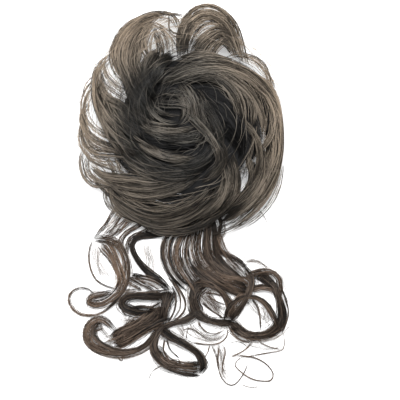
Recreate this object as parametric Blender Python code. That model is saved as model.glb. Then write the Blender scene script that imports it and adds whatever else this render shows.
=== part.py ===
"""Top-knot hairpiece: an elastic ring, a swirled bun of hair locks sewn round it, and loose curled tails.

The piece lies on a surface, band down, as it is laid out for sale. +Z is up, and the tails run towards -Y.
The bun's middle is the middle of the elastic ring. Lengths are in metres.
"""

import math

import bmesh
import bpy
from mathutils import Vector

# The bun. A share of 1 in the tables of bun locks is half the width or half the length.
BUN_WIDTH = 0.150
BUN_LENGTH = 0.150
BUN_DEPTH = 0.058
LOCK_HALF_THICKNESS = 0.0046

# The tails. A share of 1 in the tables of tail locks is TAIL_SPREAD across and TAIL_DROP down.
TAIL_SPREAD = 0.075
TAIL_DROP = 0.075
TAIL_HALF_THICKNESS = 0.0024
TAIL_LIFT = 0.0030

# The elastic ring that the wearer's own bun goes through, and the hollow over it.
BAND_INNER_RADIUS = 0.0190
BAND_WALL = 0.0050
BAND_HEIGHT = 0.0080
BAND_ROUNDING = 0.0012
HOLLOW_HEIGHT = 0.0340
HOLLOW_SIDE_ROOM = 0.0010
HOLLOW_RADIUS_HEIGHT = ((1.00, 0.72), (0.75, 0.93), (0.30, 1.00))

CLEARANCE = 0.0003
FLOOR_GAP = 0.0006
TAIL_PASSAGE = 2 * TAIL_HALF_THICKNESS + FLOOR_GAP + 0.0010

# A half width of 1 in the tables of bun locks and of tail locks.
LOCK_WIDTH = 0.105
TAIL_LOCK_WIDTH = 0.075

BAND_SEGMENTS = 36
BACKING_SEGMENTS = 36
LOCK_SIDES = 8
TAIL_SIDES = 6
STEPS_PER_ROW = 2

# The height of the hair over the surface, from the bun's middle outwards.
CROWN_REACH_HEIGHT = (
    (0.00, 0.82),
    (0.20, 0.88),
    (0.40, 0.93),
    (0.60, 0.85),
    (0.76, 0.68),
    (0.90, 0.48),
    (1.00, 0.31),
    (1.20, 0.18),
)
STEEPEST_SIDE = 0.6
SLOPE_REACH = 0.002

# The backing that the locks are fused to: its rim, and its depth under the crown.
BACKING_REACH = 0.68
BACKING_FOOT = 0.54
BACKING_BELLY = 0.26
BACKING_SHIFT_X = 0.06
BACKING_SHIFT_Y = -0.10
BACKING_SINK = 0.0050
BACKING_RINGS = (0.05, 0.20, 0.35, 0.50, 0.60, BACKING_REACH)
LOCK_ROOTING = 0.0040
ROOTING_PAST_RIM = 0.05
LOCK_STAGGER = 0.00003

# The tails leave under the bun between these directions, in degrees from +X, over a soft edge.
TAIL_SECTOR = (213.0, 303.0)
TAIL_SECTOR_EDGE = 13.0

# Bun locks, a row for each bend: across, along, lift over the crown, half width, as shares.
BUN_LOCKS = {
    "upper_left_rim": (
        (-0.08, 1.04, 0.00, 0.02),
        (-0.22, 1.05, 0.00, 0.03),
        (-0.40, 1.01, 0.02, 0.05),
        (-0.55, 0.90, 0.03, 0.06),
        (-0.65, 0.77, 0.03, 0.06),
        (-0.69, 0.62, 0.03, 0.06),
        (-0.66, 0.48, 0.00, 0.06),
        (-0.56, 0.34, -0.02, 0.06),
        (-0.42, 0.22, -0.08, 0.04),
    ),
    "upper_left_fold": (
        (-0.18, 0.94, -0.04, 0.03),
        (-0.35, 0.89, 0.01, 0.05),
        (-0.48, 0.79, 0.03, 0.07),
        (-0.54, 0.64, 0.03, 0.08),
        (-0.51, 0.46, 0.00, 0.07),
        (-0.40, 0.30, -0.08, 0.05),
    ),
    "second_left_rim": (
        (-0.68, 0.58, -0.06, 0.02),
        (-0.80, 0.53, 0.00, 0.03),
        (-0.86, 0.40, 0.03, 0.04),
        (-0.86, 0.25, 0.03, 0.05),
        (-0.80, 0.09, 0.03, 0.06),
        (-0.68, -0.08, 0.02, 0.08),
        (-0.53, -0.24, 0.00, 0.07),
        (-0.36, -0.36, -0.04, 0.05),
    ),
    "second_left_fold": (
        (-0.82, 0.38, -0.04, 0.03),
        (-0.74, 0.27, -0.02, 0.04),
        (-0.60, 0.21, -0.04, 0.05),
        (-0.42, 0.22, -0.08, 0.04),
    ),
    "third_left_rim": (
        (-0.82, 0.29, -0.06, 0.02),
        (-0.93, 0.22, 0.00, 0.03),
        (-0.98, 0.10, 0.02, 0.03),
        (-0.97, -0.02, 0.02, 0.04),
        (-0.88, -0.10, 0.00, 0.04),
        (-0.72, -0.15, -0.04, 0.04),
    ),
    "fourth_left_rim": (
        (-0.92, 0.00, -0.02, 0.02),
        (-1.00, -0.11, 0.02, 0.03),
        (-1.00, -0.23, 0.03, 0.04),
        (-0.92, -0.34, 0.03, 0.05),
        (-0.77, -0.38, 0.01, 0.05),
        (-0.60, -0.40, -0.04, 0.04),
    ),
    "fifth_left_rim": (
        (-0.90, -0.34, -0.02, 0.02),
        (-0.95, -0.45, 0.01, 0.03),
        (-0.92, -0.57, 0.02, 0.04),
        (-0.81, -0.64, 0.01, 0.04),
        (-0.66, -0.66, -0.03, 0.05),
    ),
    "lower_left_band": (
        (-0.90, -0.36, 0.02, 0.03),
        (-0.80, -0.50, 0.05, 0.05),
        (-0.64, -0.60, 0.05, 0.06),
        (-0.46, -0.67, 0.04, 0.06),
        (-0.26, -0.69, 0.02, 0.05),
        (-0.08, -0.66, -0.02, 0.03),
    ),
    "bottom_outer_band": (
        (-0.77, -0.60, 0.00, 0.04),
        (-0.70, -0.74, 0.03, 0.06),
        (-0.56, -0.86, 0.05, 0.07),
        (-0.34, -0.94, 0.06, 0.07),
        (-0.08, -0.97, 0.07, 0.07),
        (0.14, -0.91, 0.07, 0.07),
        (0.31, -0.80, 0.06, 0.06),
        (0.42, -0.66, 0.04, 0.05),
        (0.49, -0.50, -0.02, 0.03),
    ),
    "bottom_middle_band": (
        (-0.62, -0.64, -0.02, 0.05),
        (-0.44, -0.75, 0.03, 0.07),
        (-0.22, -0.80, 0.04, 0.07),
        (0.00, -0.79, 0.04, 0.07),
        (0.20, -0.71, 0.04, 0.07),
        (0.35, -0.58, 0.02, 0.05),
        (0.43, -0.44, -0.03, 0.03),
    ),
    "bottom_inner_band": (
        (-0.58, -0.42, -0.04, 0.04),
        (-0.42, -0.54, 0.01, 0.06),
        (-0.22, -0.61, 0.02, 0.06),
        (0.00, -0.61, 0.02, 0.06),
        (0.22, -0.56, 0.02, 0.05),
        (0.38, -0.45, 0.00, 0.03),
    ),
    "lower_skirt": (
        (-0.50, -0.88, -0.04, 0.04),
        (-0.30, -1.01, -0.02, 0.05),
        (-0.06, -1.06, 0.00, 0.06),
        (0.18, -1.04, 0.00, 0.06),
        (0.40, -0.96, 0.00, 0.06),
        (0.60, -0.84, -0.02, 0.04),
    ),
    "right_lower_rim": (
        (1.00, -0.08, -0.02, 0.03),
        (1.03, -0.28, 0.02, 0.04),
        (1.00, -0.48, 0.03, 0.05),
        (0.92, -0.67, 0.03, 0.05),
        (0.79, -0.83, 0.03, 0.06),
        (0.62, -0.95, 0.03, 0.06),
        (0.42, -1.05, 0.00, 0.04),
    ),
    "right_lower_fold": (
        (0.82, 0.00, -0.04, 0.04),
        (0.89, -0.18, 0.02, 0.06),
        (0.89, -0.38, 0.04, 0.07),
        (0.83, -0.58, 0.05, 0.07),
        (0.71, -0.76, 0.05, 0.07),
        (0.53, -0.90, 0.04, 0.06),
        (0.34, -1.00, 0.00, 0.04),
    ),
    "right_fan": (
        (0.51, -0.44, -0.04, 0.03),
        (0.60, -0.60, 0.02, 0.05),
        (0.62, -0.75, 0.03, 0.06),
        (0.54, -0.89, 0.03, 0.06),
        (0.40, -1.00, 0.01, 0.05),
    ),
    "right_inner_petal": (
        (0.63, 0.04, -0.04, 0.04),
        (0.72, -0.10, 0.01, 0.05),
        (0.76, -0.26, 0.02, 0.05),
        (0.73, -0.42, 0.01, 0.05),
        (0.62, -0.54, -0.04, 0.03),
    ),
    "upper_right_band": (
        (-0.10, 0.35, -0.04, 0.04),
        (0.08, 0.42, 0.02, 0.06),
        (0.28, 0.48, 0.05, 0.07),
        (0.48, 0.47, 0.06, 0.07),
        (0.66, 0.40, 0.06, 0.07),
        (0.81, 0.29, 0.05, 0.07),
        (0.92, 0.15, 0.04, 0.06),
        (0.98, -0.02, 0.02, 0.05),
        (0.98, -0.18, -0.02, 0.03),
    ),
    "upper_right_rim": (
        (0.42, 0.54, -0.04, 0.02),
        (0.58, 0.61, 0.00, 0.02),
        (0.73, 0.60, 0.01, 0.02),
        (0.85, 0.50, 0.02, 0.02),
        (0.93, 0.36, 0.02, 0.03),
        (0.99, 0.20, 0.02, 0.03),
        (1.02, 0.02, 0.00, 0.03),
    ),
    "upper_right_fold": (
        (0.06, 0.54, -0.04, 0.04),
        (0.26, 0.59, 0.00, 0.05),
        (0.46, 0.57, 0.02, 0.05),
        (0.64, 0.50, 0.02, 0.05),
        (0.80, 0.38, 0.00, 0.04),
    ),
    "right_hook": (
        (0.65, 0.22, -0.05, 0.05),
        (0.80, 0.11, 0.02, 0.06),
        (0.89, -0.02, 0.03, 0.06),
        (0.84, -0.18, 0.02, 0.05),
        (0.70, -0.28, -0.03, 0.04),
    ),
    "right_petal": (
        (0.24, 0.38, -0.03, 0.03),
        (0.41, 0.34, 0.03, 0.05),
        (0.55, 0.23, 0.04, 0.06),
        (0.62, 0.08, 0.03, 0.06),
        (0.61, -0.09, -0.02, 0.04),
    ),
    "top_lobe": (
        (0.12, 0.42, -0.10, 0.04),
        (0.05, 0.58, -0.04, 0.05),
        (0.02, 0.74, 0.00, 0.05),
        (0.04, 0.88, 0.03, 0.05),
        (0.11, 1.01, 0.03, 0.05),
        (0.22, 1.08, 0.02, 0.05),
        (0.35, 1.08, 0.02, 0.05),
        (0.46, 1.00, 0.02, 0.05),
        (0.54, 0.88, 0.02, 0.05),
        (0.58, 0.74, 0.02, 0.04),
        (0.60, 0.58, -0.04, 0.03),
    ),
    "top_lobe_fan": (
        (0.18, 0.46, -0.08, 0.05),
        (0.22, 0.62, 0.00, 0.07),
        (0.28, 0.74, 0.02, 0.07),
        (0.37, 0.82, 0.04, 0.06),
        (0.48, 0.80, 0.03, 0.05),
        (0.56, 0.70, -0.02, 0.03),
    ),
    "centre_hump": (
        (-0.40, 0.08, -0.06, 0.03),
        (-0.31, -0.05, 0.02, 0.06),
        (-0.17, -0.12, 0.05, 0.08),
        (0.00, -0.12, 0.05, 0.08),
        (0.16, -0.12, 0.03, 0.06),
        (0.29, -0.18, -0.02, 0.03),
    ),
    "centre_sweep": (
        (0.06, 0.02, -0.02, 0.03),
        (0.20, -0.06, 0.06, 0.05),
        (0.32, -0.17, 0.06, 0.05),
        (0.40, -0.30, 0.05, 0.05),
        (0.41, -0.45, 0.00, 0.03),
    ),
    "centre_lower": (
        (-0.50, -0.14, -0.04, 0.03),
        (-0.39, -0.26, 0.02, 0.05),
        (-0.23, -0.33, 0.04, 0.06),
        (-0.05, -0.36, 0.04, 0.07),
        (0.12, -0.35, 0.03, 0.06),
        (0.27, -0.30, -0.02, 0.03),
    ),
    "eye_ring": (
        (0.04, 0.22, -0.02, 0.03),
        (-0.12, 0.23, 0.02, 0.04),
        (-0.23, 0.14, 0.03, 0.04),
        (-0.20, 0.03, 0.04, 0.04),
        (-0.07, -0.02, 0.05, 0.04),
        (0.08, 0.02, 0.05, 0.04),
        (0.17, 0.11, 0.02, 0.03),
    ),
    "eye_right": (
        (-0.04, 0.26, -0.03, 0.04),
        (0.11, 0.22, 0.02, 0.05),
        (0.23, 0.12, 0.03, 0.06),
        (0.30, -0.01, 0.03, 0.06),
        (0.33, -0.16, -0.01, 0.04),
    ),
}

# Tail locks, a row for each bend: across from the bun's middle, drop under the bun, lift and half width.
# "root" is the direction on the elastic ring where a lock starts, or None where it grows from another lock.
TAILS = {
    "tail_left": {
        "lock": (
            234.0,
            (
                (-0.66, -0.16, 0.0, 0.030),
                (-0.77, -0.02, 0.2, 0.030),
                (-0.80, 0.08, 0.5, 0.026),
                (-0.74, 0.14, 0.6, 0.044),
                (-0.65, 0.21, 0.5, 0.070),
                (-0.59, 0.34, 0.3, 0.080),
                (-0.57, 0.48, 0.1, 0.062),
                (-0.62, 0.60, 0.0, 0.040),
                (-0.73, 0.66, 0.0, 0.030),
                (-0.86, 0.67, 0.2, 0.026),
                (-0.92, 0.73, 0.3, 0.022),
                (-0.86, 0.79, 0.2, 0.018),
                (-0.76, 0.76, 0.1, 0.012),
            ),
        ),
    },
    "tail_middle": {
        "zigzag": (
            256.0,
            (
                (-0.16, -0.04, 0.0, 0.034),
                (-0.30, 0.02, 0.0, 0.036),
                (-0.43, 0.08, 0.2, 0.038),
                (-0.48, 0.17, 0.5, 0.036),
                (-0.43, 0.31, 0.4, 0.036),
                (-0.31, 0.45, 0.2, 0.038),
                (-0.18, 0.56, 0.1, 0.042),
                (-0.11, 0.64, 0.1, 0.044),
            ),
        ),
        "back_curl": (
            None,
            (
                (-0.09, 0.62, 0.2, 0.040),
                (-0.24, 0.64, 0.8, 0.044),
                (-0.42, 0.65, 1.0, 0.044),
                (-0.56, 0.68, 0.8, 0.038),
                (-0.61, 0.74, 0.4, 0.034),
                (-0.55, 0.80, 0.2, 0.034),
                (-0.42, 0.84, 0.2, 0.032),
                (-0.28, 0.81, 0.3, 0.030),
                (-0.18, 0.78, 0.3, 0.030),
            ),
        ),
        "down_band": (
            None,
            (
                (-0.11, 0.58, 0.1, 0.034),
                (-0.12, 0.73, 0.4, 0.050),
                (-0.20, 0.86, 0.5, 0.054),
                (-0.34, 0.94, 0.4, 0.050),
                (-0.50, 1.01, 0.3, 0.044),
                (-0.67, 1.07, 0.1, 0.030),
            ),
        ),
        "ring_curl": (
            None,
            (
                (-0.20, 0.90, 0.0, 0.036),
                (-0.28, 1.08, 0.0, 0.038),
                (-0.38, 1.20, 0.2, 0.042),
                (-0.56, 1.25, 0.4, 0.048),
                (-0.75, 1.21, 0.5, 0.048),
                (-0.88, 1.12, 0.5, 0.040),
                (-0.93, 1.00, 0.4, 0.034),
                (-0.88, 0.91, 0.3, 0.026),
                (-0.78, 0.90, 0.2, 0.020),
                (-0.68, 0.98, 0.1, 0.018),
            ),
        ),
        "bottom_outer": (
            None,
            (
                (-0.20, 0.94, 0.0, 0.034),
                (-0.26, 1.12, 0.0, 0.036),
                (-0.23, 1.26, 0.1, 0.038),
                (-0.12, 1.36, 0.3, 0.048),
                (0.04, 1.41, 0.4, 0.052),
                (0.20, 1.42, 0.2, 0.050),
            ),
        ),
        "bottom_inner": (
            None,
            (
                (-0.20, 0.98, 0.3, 0.030),
                (-0.06, 1.06, 0.6, 0.032),
                (0.08, 1.16, 0.6, 0.032),
                (0.19, 1.29, 0.4, 0.036),
                (0.21, 1.41, 0.2, 0.030),
            ),
        ),
    },
    "tail_right": {
        "left_strand": (
            274.0,
            (
                (0.05, 0.00, 0.0, 0.034),
                (-0.06, 0.13, 0.2, 0.036),
                (-0.10, 0.27, 0.4, 0.036),
                (-0.05, 0.41, 0.3, 0.038),
                (0.06, 0.54, 0.1, 0.040),
                (0.16, 0.62, 0.0, 0.034),
            ),
        ),
        "middle_strand": (
            285.0,
            (
                (0.24, 0.03, 0.0, 0.052),
                (0.20, 0.17, 0.2, 0.062),
                (0.23, 0.31, 0.4, 0.066),
                (0.34, 0.43, 0.4, 0.062),
                (0.50, 0.53, 0.2, 0.052),
                (0.67, 0.60, 0.1, 0.036),
            ),
        ),
        "right_strand": (
            294.0,
            (
                (0.38, 0.02, 0.0, 0.040),
                (0.34, 0.16, 0.2, 0.044),
                (0.39, 0.28, 0.4, 0.042),
                (0.51, 0.37, 0.5, 0.038),
                (0.63, 0.47, 0.5, 0.036),
                (0.68, 0.60, 0.7, 0.036),
                (0.62, 0.75, 0.7, 0.036),
                (0.52, 0.87, 0.4, 0.036),
                (0.46, 0.95, 0.1, 0.034),
            ),
        ),
        "outer_curl": (
            None,
            (
                (0.64, 0.55, 0.1, 0.028),
                (0.74, 0.46, 0.5, 0.032),
                (0.87, 0.43, 0.9, 0.034),
                (0.98, 0.50, 1.0, 0.036),
                (1.03, 0.65, 0.9, 0.038),
                (1.06, 0.81, 0.6, 0.040),
                (1.01, 0.97, 0.3, 0.042),
                (0.87, 1.06, 0.2, 0.048),
                (0.69, 1.06, 0.1, 0.046),
                (0.55, 0.99, 0.0, 0.038),
                (0.48, 0.88, 0.0, 0.030),
            ),
        ),
        "inner_arc": (
            None,
            (
                (0.49, 0.86, 0.3, 0.024),
                (0.51, 0.73, 0.6, 0.028),
                (0.61, 0.66, 0.9, 0.030),
                (0.76, 0.65, 0.9, 0.028),
                (0.89, 0.73, 0.7, 0.024),
                (0.97, 0.87, 0.4, 0.022),
                (0.99, 0.98, 0.2, 0.018),
            ),
        ),
        "round_curl": (
            None,
            (
                (0.47, 0.94, 0.6, 0.030),
                (0.49, 0.77, 0.9, 0.030),
                (0.40, 0.61, 0.9, 0.030),
                (0.26, 0.54, 0.7, 0.034),
                (0.13, 0.58, 0.4, 0.040),
                (0.09, 0.71, 0.2, 0.040),
                (0.14, 0.83, 0.1, 0.036),
                (0.28, 0.90, 0.1, 0.032),
                (0.42, 0.92, 0.2, 0.030),
            ),
        ),
        "link": (
            None,
            (
                (0.13, 0.78, 0.1, 0.036),
                (0.05, 0.88, 0.1, 0.036),
                (-0.04, 0.95, 0.1, 0.024),
            ),
        ),
    },
}
# Where the tails' drop counts from, as a share of half the bun's length.
TAIL_START = 1.10
# How far along its way out from the elastic ring each hidden bend of a tail's root lies.
ROOT_SHARES = (0.00, 0.30, 0.65)


def between(low, high, value):
    """0 under low, 1 over high, and an even, soft rise between them."""
    part = min(1.0, max(0.0, (value - low) / (high - low)))
    return part * part * (3 - 2 * part)


def from_table(rows, value):
    """The second column of a two-column table at this value of the first."""
    for (low, low_result), (high, high_result) in zip(rows, rows[1:]):
        if value <= high:
            return low_result + (high_result - low_result) * between(low, high, value)
    return rows[-1][1]


def smooth_rows(rows, steps):
    """The rows of a table with a smooth curve through all their columns."""
    padded = [rows[0], *rows, rows[-1]]
    route = []
    for before, start, end, after in zip(padded, padded[1:], padded[2:], padded[3:]):
        for step in range(steps):
            t = step / steps
            route.append(
                tuple(
                    0.5
                    * (
                        2 * b
                        + (c - a) * t
                        + (2 * a - 5 * b + 4 * c - d) * t**2
                        + (3 * b - a - 3 * c + d) * t**3
                    )
                    for a, b, c, d in zip(before, start, end, after)
                )
            )
    route.append(tuple(rows[-1]))
    return route


def crown_height(x, y):
    """The height of the hair's middle over a place on the surface."""
    reach = math.hypot(2 * x / BUN_WIDTH, 2 * y / BUN_LENGTH)
    return BUN_DEPTH * from_table(CROWN_REACH_HEIGHT, reach)


def crown_normal(x, y):
    """The way that the crown faces, with its steep sides eased."""
    slope = Vector(
        (
            crown_height(x + SLOPE_REACH, y) - crown_height(x - SLOPE_REACH, y),
            crown_height(x, y + SLOPE_REACH) - crown_height(x, y - SLOPE_REACH),
        )
    ) / (2 * SLOPE_REACH)
    if slope.length > STEEPEST_SIDE:
        slope *= STEEPEST_SIDE / slope.length
    return Vector((-slope.x, -slope.y, 1)).normalized()


def seat_under(x, y):
    """How deep a lock's underside is rooted in the backing at a place, or None where a petal runs free."""
    across = 2 * x / BUN_WIDTH - BACKING_SHIFT_X
    along = 2 * y / BUN_LENGTH - BACKING_SHIFT_Y
    if math.hypot(across, along) > BACKING_REACH + ROOTING_PAST_RIM:
        return None
    return crown_height(x, y) - BACKING_SINK - LOCK_ROOTING


def lowest_hair(x, y):
    """The lowest that the bun's hair hangs at a place: on the surface, or over the tails."""
    start, end = TAIL_SECTOR
    angle = math.degrees(math.atan2(y, x)) % 360
    over_tails = between(start - TAIL_SECTOR_EDGE, start, angle) * (
        1 - between(end, end + TAIL_SECTOR_EDGE, angle)
    )
    return FLOOR_GAP + (TAIL_PASSAGE - FLOOR_GAP) * over_tails


def loft(name, rings, ring_shaped=False):
    """A closed solid through rings of points. A ring-shaped one joins its last ring to its first."""
    mesh = bmesh.new()
    loops = [[mesh.verts.new(point) for point in ring] for ring in rings]
    pairs = list(zip(loops, loops[1:]))
    if ring_shaped:
        pairs.append((loops[-1], loops[0]))
    for low, high in pairs:
        for i in range(len(low)):
            j = (i + 1) % len(low)
            mesh.faces.new((low[i], low[j], high[j], high[i]))
    if not ring_shaped:
        mesh.faces.new(loops[0][::-1])
        mesh.faces.new(loops[-1])
    bmesh.ops.recalc_face_normals(mesh, faces=mesh.faces)
    data = bpy.data.meshes.new(name)
    mesh.to_mesh(data)
    mesh.free()
    data.shade_smooth()
    data.set_sharp_from_angle(angle=math.radians(50))
    solid = bpy.data.objects.new(name, data)
    bpy.context.scene.collection.objects.link(solid)
    return solid


def finish(name, colour, roughness):
    """The material of one sub-part."""
    material = bpy.data.materials.new(name)
    material.use_nodes = True
    shader = material.node_tree.nodes["Principled BSDF"]
    shader.inputs["Base Color"].default_value = (*colour, 1)
    shader.inputs["Roughness"].default_value = roughness
    shader.inputs["Metallic"].default_value = 0
    return material


def sweep(name, points, normals, half_widths, half_thicknesses, sides, floor, seat):
    """A flattened lock of hair along points, over a floor(x, y), with its underside rooted in seat(x, y)."""
    rings = []
    for i, point in enumerate(points):
        ahead = points[min(i + 1, len(points) - 1)] - points[max(i - 1, 0)]
        side = normals[i].cross(ahead).normalized()
        top = ahead.cross(side).normalized()
        ring = []
        for k in range(sides):
            turn = 2 * math.pi * k / sides
            corner = (
                point
                + side * half_widths[i] * math.cos(turn)
                + top * half_thicknesses[i] * math.sin(turn)
            )
            under = point + side * half_widths[i] * round(math.cos(turn))
            rooted = seat(under.x, under.y)
            if math.sin(turn) < -0.5 and rooted is not None:
                corner = Vector((under.x, under.y, min(under.z - half_thicknesses[i], rooted)))
            corner.z = max(corner.z, floor(corner.x, corner.y))
            ring.append(corner)
        rings.append(ring)
    return loft(name, rings)


def bun_lock(name, rows, number):
    """One lock that lies on the crown. Each hangs a little higher than the last, so none share a face."""

    def lowest(x, y):
        return lowest_hair(x, y) + LOCK_STAGGER * (number + 1)

    route = smooth_rows(rows, STEPS_PER_ROW)
    points, normals, widths, thicknesses = [], [], [], []
    widest = max(row[3] for row in rows)
    for across, along, lift, width in route:
        x, y = across * BUN_WIDTH / 2, along * BUN_LENGTH / 2
        thickness = LOCK_HALF_THICKNESS * (width / widest) ** 0.5
        height = max(crown_height(x, y) + lift * BUN_DEPTH, lowest(x, y) + thickness)
        points.append(Vector((x, y, height)))
        normals.append(crown_normal(x, y))
        widths.append(width * LOCK_WIDTH)
        thicknesses.append(thickness)
    return sweep(name, points, normals, widths, thicknesses, LOCK_SIDES, lowest, seat_under)


def tail_lock(name, root, rows):
    """One lock of a tail. root is where it starts on the elastic ring."""
    points, widths, thicknesses = [], [], []
    start = TAIL_START * BUN_LENGTH / 2
    placed = [
        (
            across * TAIL_SPREAD,
            -start - drop * TAIL_DROP,
            TAIL_LIFT + lift * 2 * TAIL_HALF_THICKNESS,
            width * TAIL_LOCK_WIDTH,
        )
        for across, drop, lift, width in rows
    ]
    if root is not None:
        reach = BAND_INNER_RADIUS + BAND_WALL + CLEARANCE
        away = Vector((math.cos(math.radians(root)), math.sin(math.radians(root))))
        out = Vector(placed[0][:2])
        for number, share in enumerate(ROOT_SHARES):
            place = away * reach * (1 - share) + out * share
            width = placed[-1 if share else 0][3]
            placed.insert(number, (place.x, place.y, TAIL_LIFT, width))
    for x, y, z, width in smooth_rows(placed, STEPS_PER_ROW):
        points.append(Vector((x, y, z)))
        widths.append(width)
        thicknesses.append(min(TAIL_HALF_THICKNESS, width))
    normals = [Vector((0, 0, 1))] * len(points)
    return sweep(
        name, points, normals, widths, thicknesses, TAIL_SIDES, lambda x, y: 0.0, lambda x, y: None
    )


def fuse(body, others):
    """Joins the other solids to the body, which keeps its name."""
    group = bpy.data.collections.new(body.name + "_locks")
    bpy.context.scene.collection.children.link(group)
    for other in others:
        bpy.context.scene.collection.objects.unlink(other)
        group.objects.link(other)
        other.hide_render = True
        other.display_type = "WIRE"
    union = body.modifiers.new("fused_locks", "BOOLEAN")
    union.operation = "UNION"
    union.operand_type = "COLLECTION"
    union.collection = group
    union.solver = "EXACT"
    fill_pockets(body)


def fill_pockets(body):
    """Keeps the outer surface of a fused body, so that no sealed pocket is left where three locks cross."""
    bpy.context.view_layer.update()
    graph = bpy.context.evaluated_depsgraph_get()
    mesh = bmesh.new()
    mesh.from_object(body, graph)
    waiting = set(mesh.faces)
    groups = []
    while waiting:
        group = {waiting.pop()}
        edge_of_group = list(group)
        while edge_of_group:
            face = edge_of_group.pop()
            for neighbour in {f for edge in face.edges for f in edge.link_faces} & waiting:
                waiting.remove(neighbour)
                group.add(neighbour)
                edge_of_group.append(neighbour)
        groups.append(group)
    groups.sort(key=len)
    pockets = [face for group in groups[:-1] for face in group]
    bmesh.ops.delete(mesh, geom=pockets, context="FACES")
    body.modifiers.clear()
    mesh.to_mesh(body.data)
    mesh.free()


def elastic_band():
    """The flat elastic ring, with its edges rounded."""
    outer = BAND_INNER_RADIUS + BAND_WALL
    section = (
        (BAND_INNER_RADIUS + BAND_ROUNDING, 0),
        (outer - BAND_ROUNDING, 0),
        (outer, BAND_ROUNDING),
        (outer, BAND_HEIGHT - BAND_ROUNDING),
        (outer - BAND_ROUNDING, BAND_HEIGHT),
        (BAND_INNER_RADIUS + BAND_ROUNDING, BAND_HEIGHT),
        (BAND_INNER_RADIUS, BAND_HEIGHT - BAND_ROUNDING),
        (BAND_INNER_RADIUS, BAND_ROUNDING),
    )
    rings = [
        [
            Vector((radius * math.cos(turn), radius * math.sin(turn), height))
            for turn in (
                2 * math.pi * k / BAND_SEGMENTS for k in range(BAND_SEGMENTS)
            )
        ]
        for radius, height in section
    ]
    return loft("elastic_band", rings, ring_shaped=True)


def backing():
    """The hair under the locks: a crown with spiral ridges, hollow over the elastic ring."""
    bore = BAND_INNER_RADIUS + BAND_WALL + CLEARANCE
    ledge = BAND_HEIGHT + CLEARANCE
    hollow = BAND_INNER_RADIUS + HOLLOW_SIDE_ROOM

    def ring(shape):
        return [
            shape(2 * math.pi * k / BACKING_SEGMENTS) for k in range(BACKING_SEGMENTS)
        ]

    def place(reach, turn):
        off_middle = reach / BACKING_REACH
        across = reach * math.cos(turn) + BACKING_SHIFT_X * off_middle
        along = reach * math.sin(turn) + BACKING_SHIFT_Y * off_middle
        return across * BUN_WIDTH / 2, along * BUN_LENGTH / 2

    def on_crown(reach):
        def corner(turn):
            x, y = place(reach, turn)
            return Vector((x, y, crown_height(x, y) - BACKING_SINK))

        return corner

    def belly(turn):
        x, y = place(BACKING_REACH, turn)
        return Vector((x, y, BACKING_BELLY * BUN_DEPTH))

    def on_underside(outwards):
        def corner(turn):
            foot_x, foot_y = place(BACKING_FOOT, turn)
            x = bore * math.cos(turn) * (1 - outwards) + foot_x * outwards
            y = bore * math.sin(turn) * (1 - outwards) + foot_y * outwards
            return Vector((x, y, lowest_hair(x, y)))

        return corner

    def round_at(radius, height):
        return lambda turn: Vector(
            (radius * math.cos(turn), radius * math.sin(turn), height)
        )

    stations = [on_crown(reach) for reach in BACKING_RINGS]
    stations += [belly, on_underside(1.0), on_underside(0.5), on_underside(0.0)]
    stations += [round_at(bore, ledge), round_at(hollow, ledge)]
    stations += [
        round_at(hollow * radius, HOLLOW_HEIGHT * height)
        for radius, height in HOLLOW_RADIUS_HEIGHT
    ]
    return loft("bun_hair", [ring(station) for station in stations])


def stand_at_the_middle(pieces):
    """Moves everything so that the origin is under the middle of the whole piece."""
    bpy.context.view_layer.update()
    graph = bpy.context.evaluated_depsgraph_get()
    corners = [
        Vector(corner)
        for piece in pieces
        for corner in piece.evaluated_get(graph).bound_box
    ]
    middle = Vector(
        [
            (min(c[axis] for c in corners) + max(c[axis] for c in corners)) / 2
            for axis in range(2)
        ]
        + [min(c.z for c in corners)]
    )
    for piece in bpy.data.objects:
        if piece.type == "MESH":
            piece.location = -middle


def build():
    for old in list(bpy.data.objects):
        bpy.data.objects.remove(old)

    hair = finish("bun_hair", (0.055, 0.046, 0.039), 0.45)
    tail_hair = finish("tail_hair", (0.045, 0.034, 0.028), 0.45)
    elastic = finish("elastic", (0.012, 0.012, 0.013), 0.85)

    band = elastic_band()
    band.data.materials.append(elastic)

    bun = backing()
    bun.data.materials.append(hair)
    locks = [
        bun_lock("lock_" + name, rows, number)
        for number, (name, rows) in enumerate(BUN_LOCKS.items())
    ]
    fuse(bun, locks)

    pieces = [band, bun]
    for name, locks in TAILS.items():
        solids = [
            tail_lock(f"{name}_{lock}" if i else name, root, rows)
            for i, (lock, (root, rows)) in enumerate(locks.items())
        ]
        solids[0].data.materials.append(tail_hair)
        if len(solids) > 1:
            fuse(solids[0], solids[1:])
        pieces.append(solids[0])
    stand_at_the_middle(pieces)


build()
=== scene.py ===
"""The looks of a top-knot hairpiece: a swirled bun of hair on an elastic ring, with loose curled tails.

Hair is laid lock by lock. A lock is a route with one half width, and a bundle of fine strands follows it.
Routes are drawn on a grid, from the middle of the elastic ring: across and along, seen from above.
"""

import math

import bmesh
import bpy
import numpy as np
from mathutils import Matrix, Vector


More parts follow.
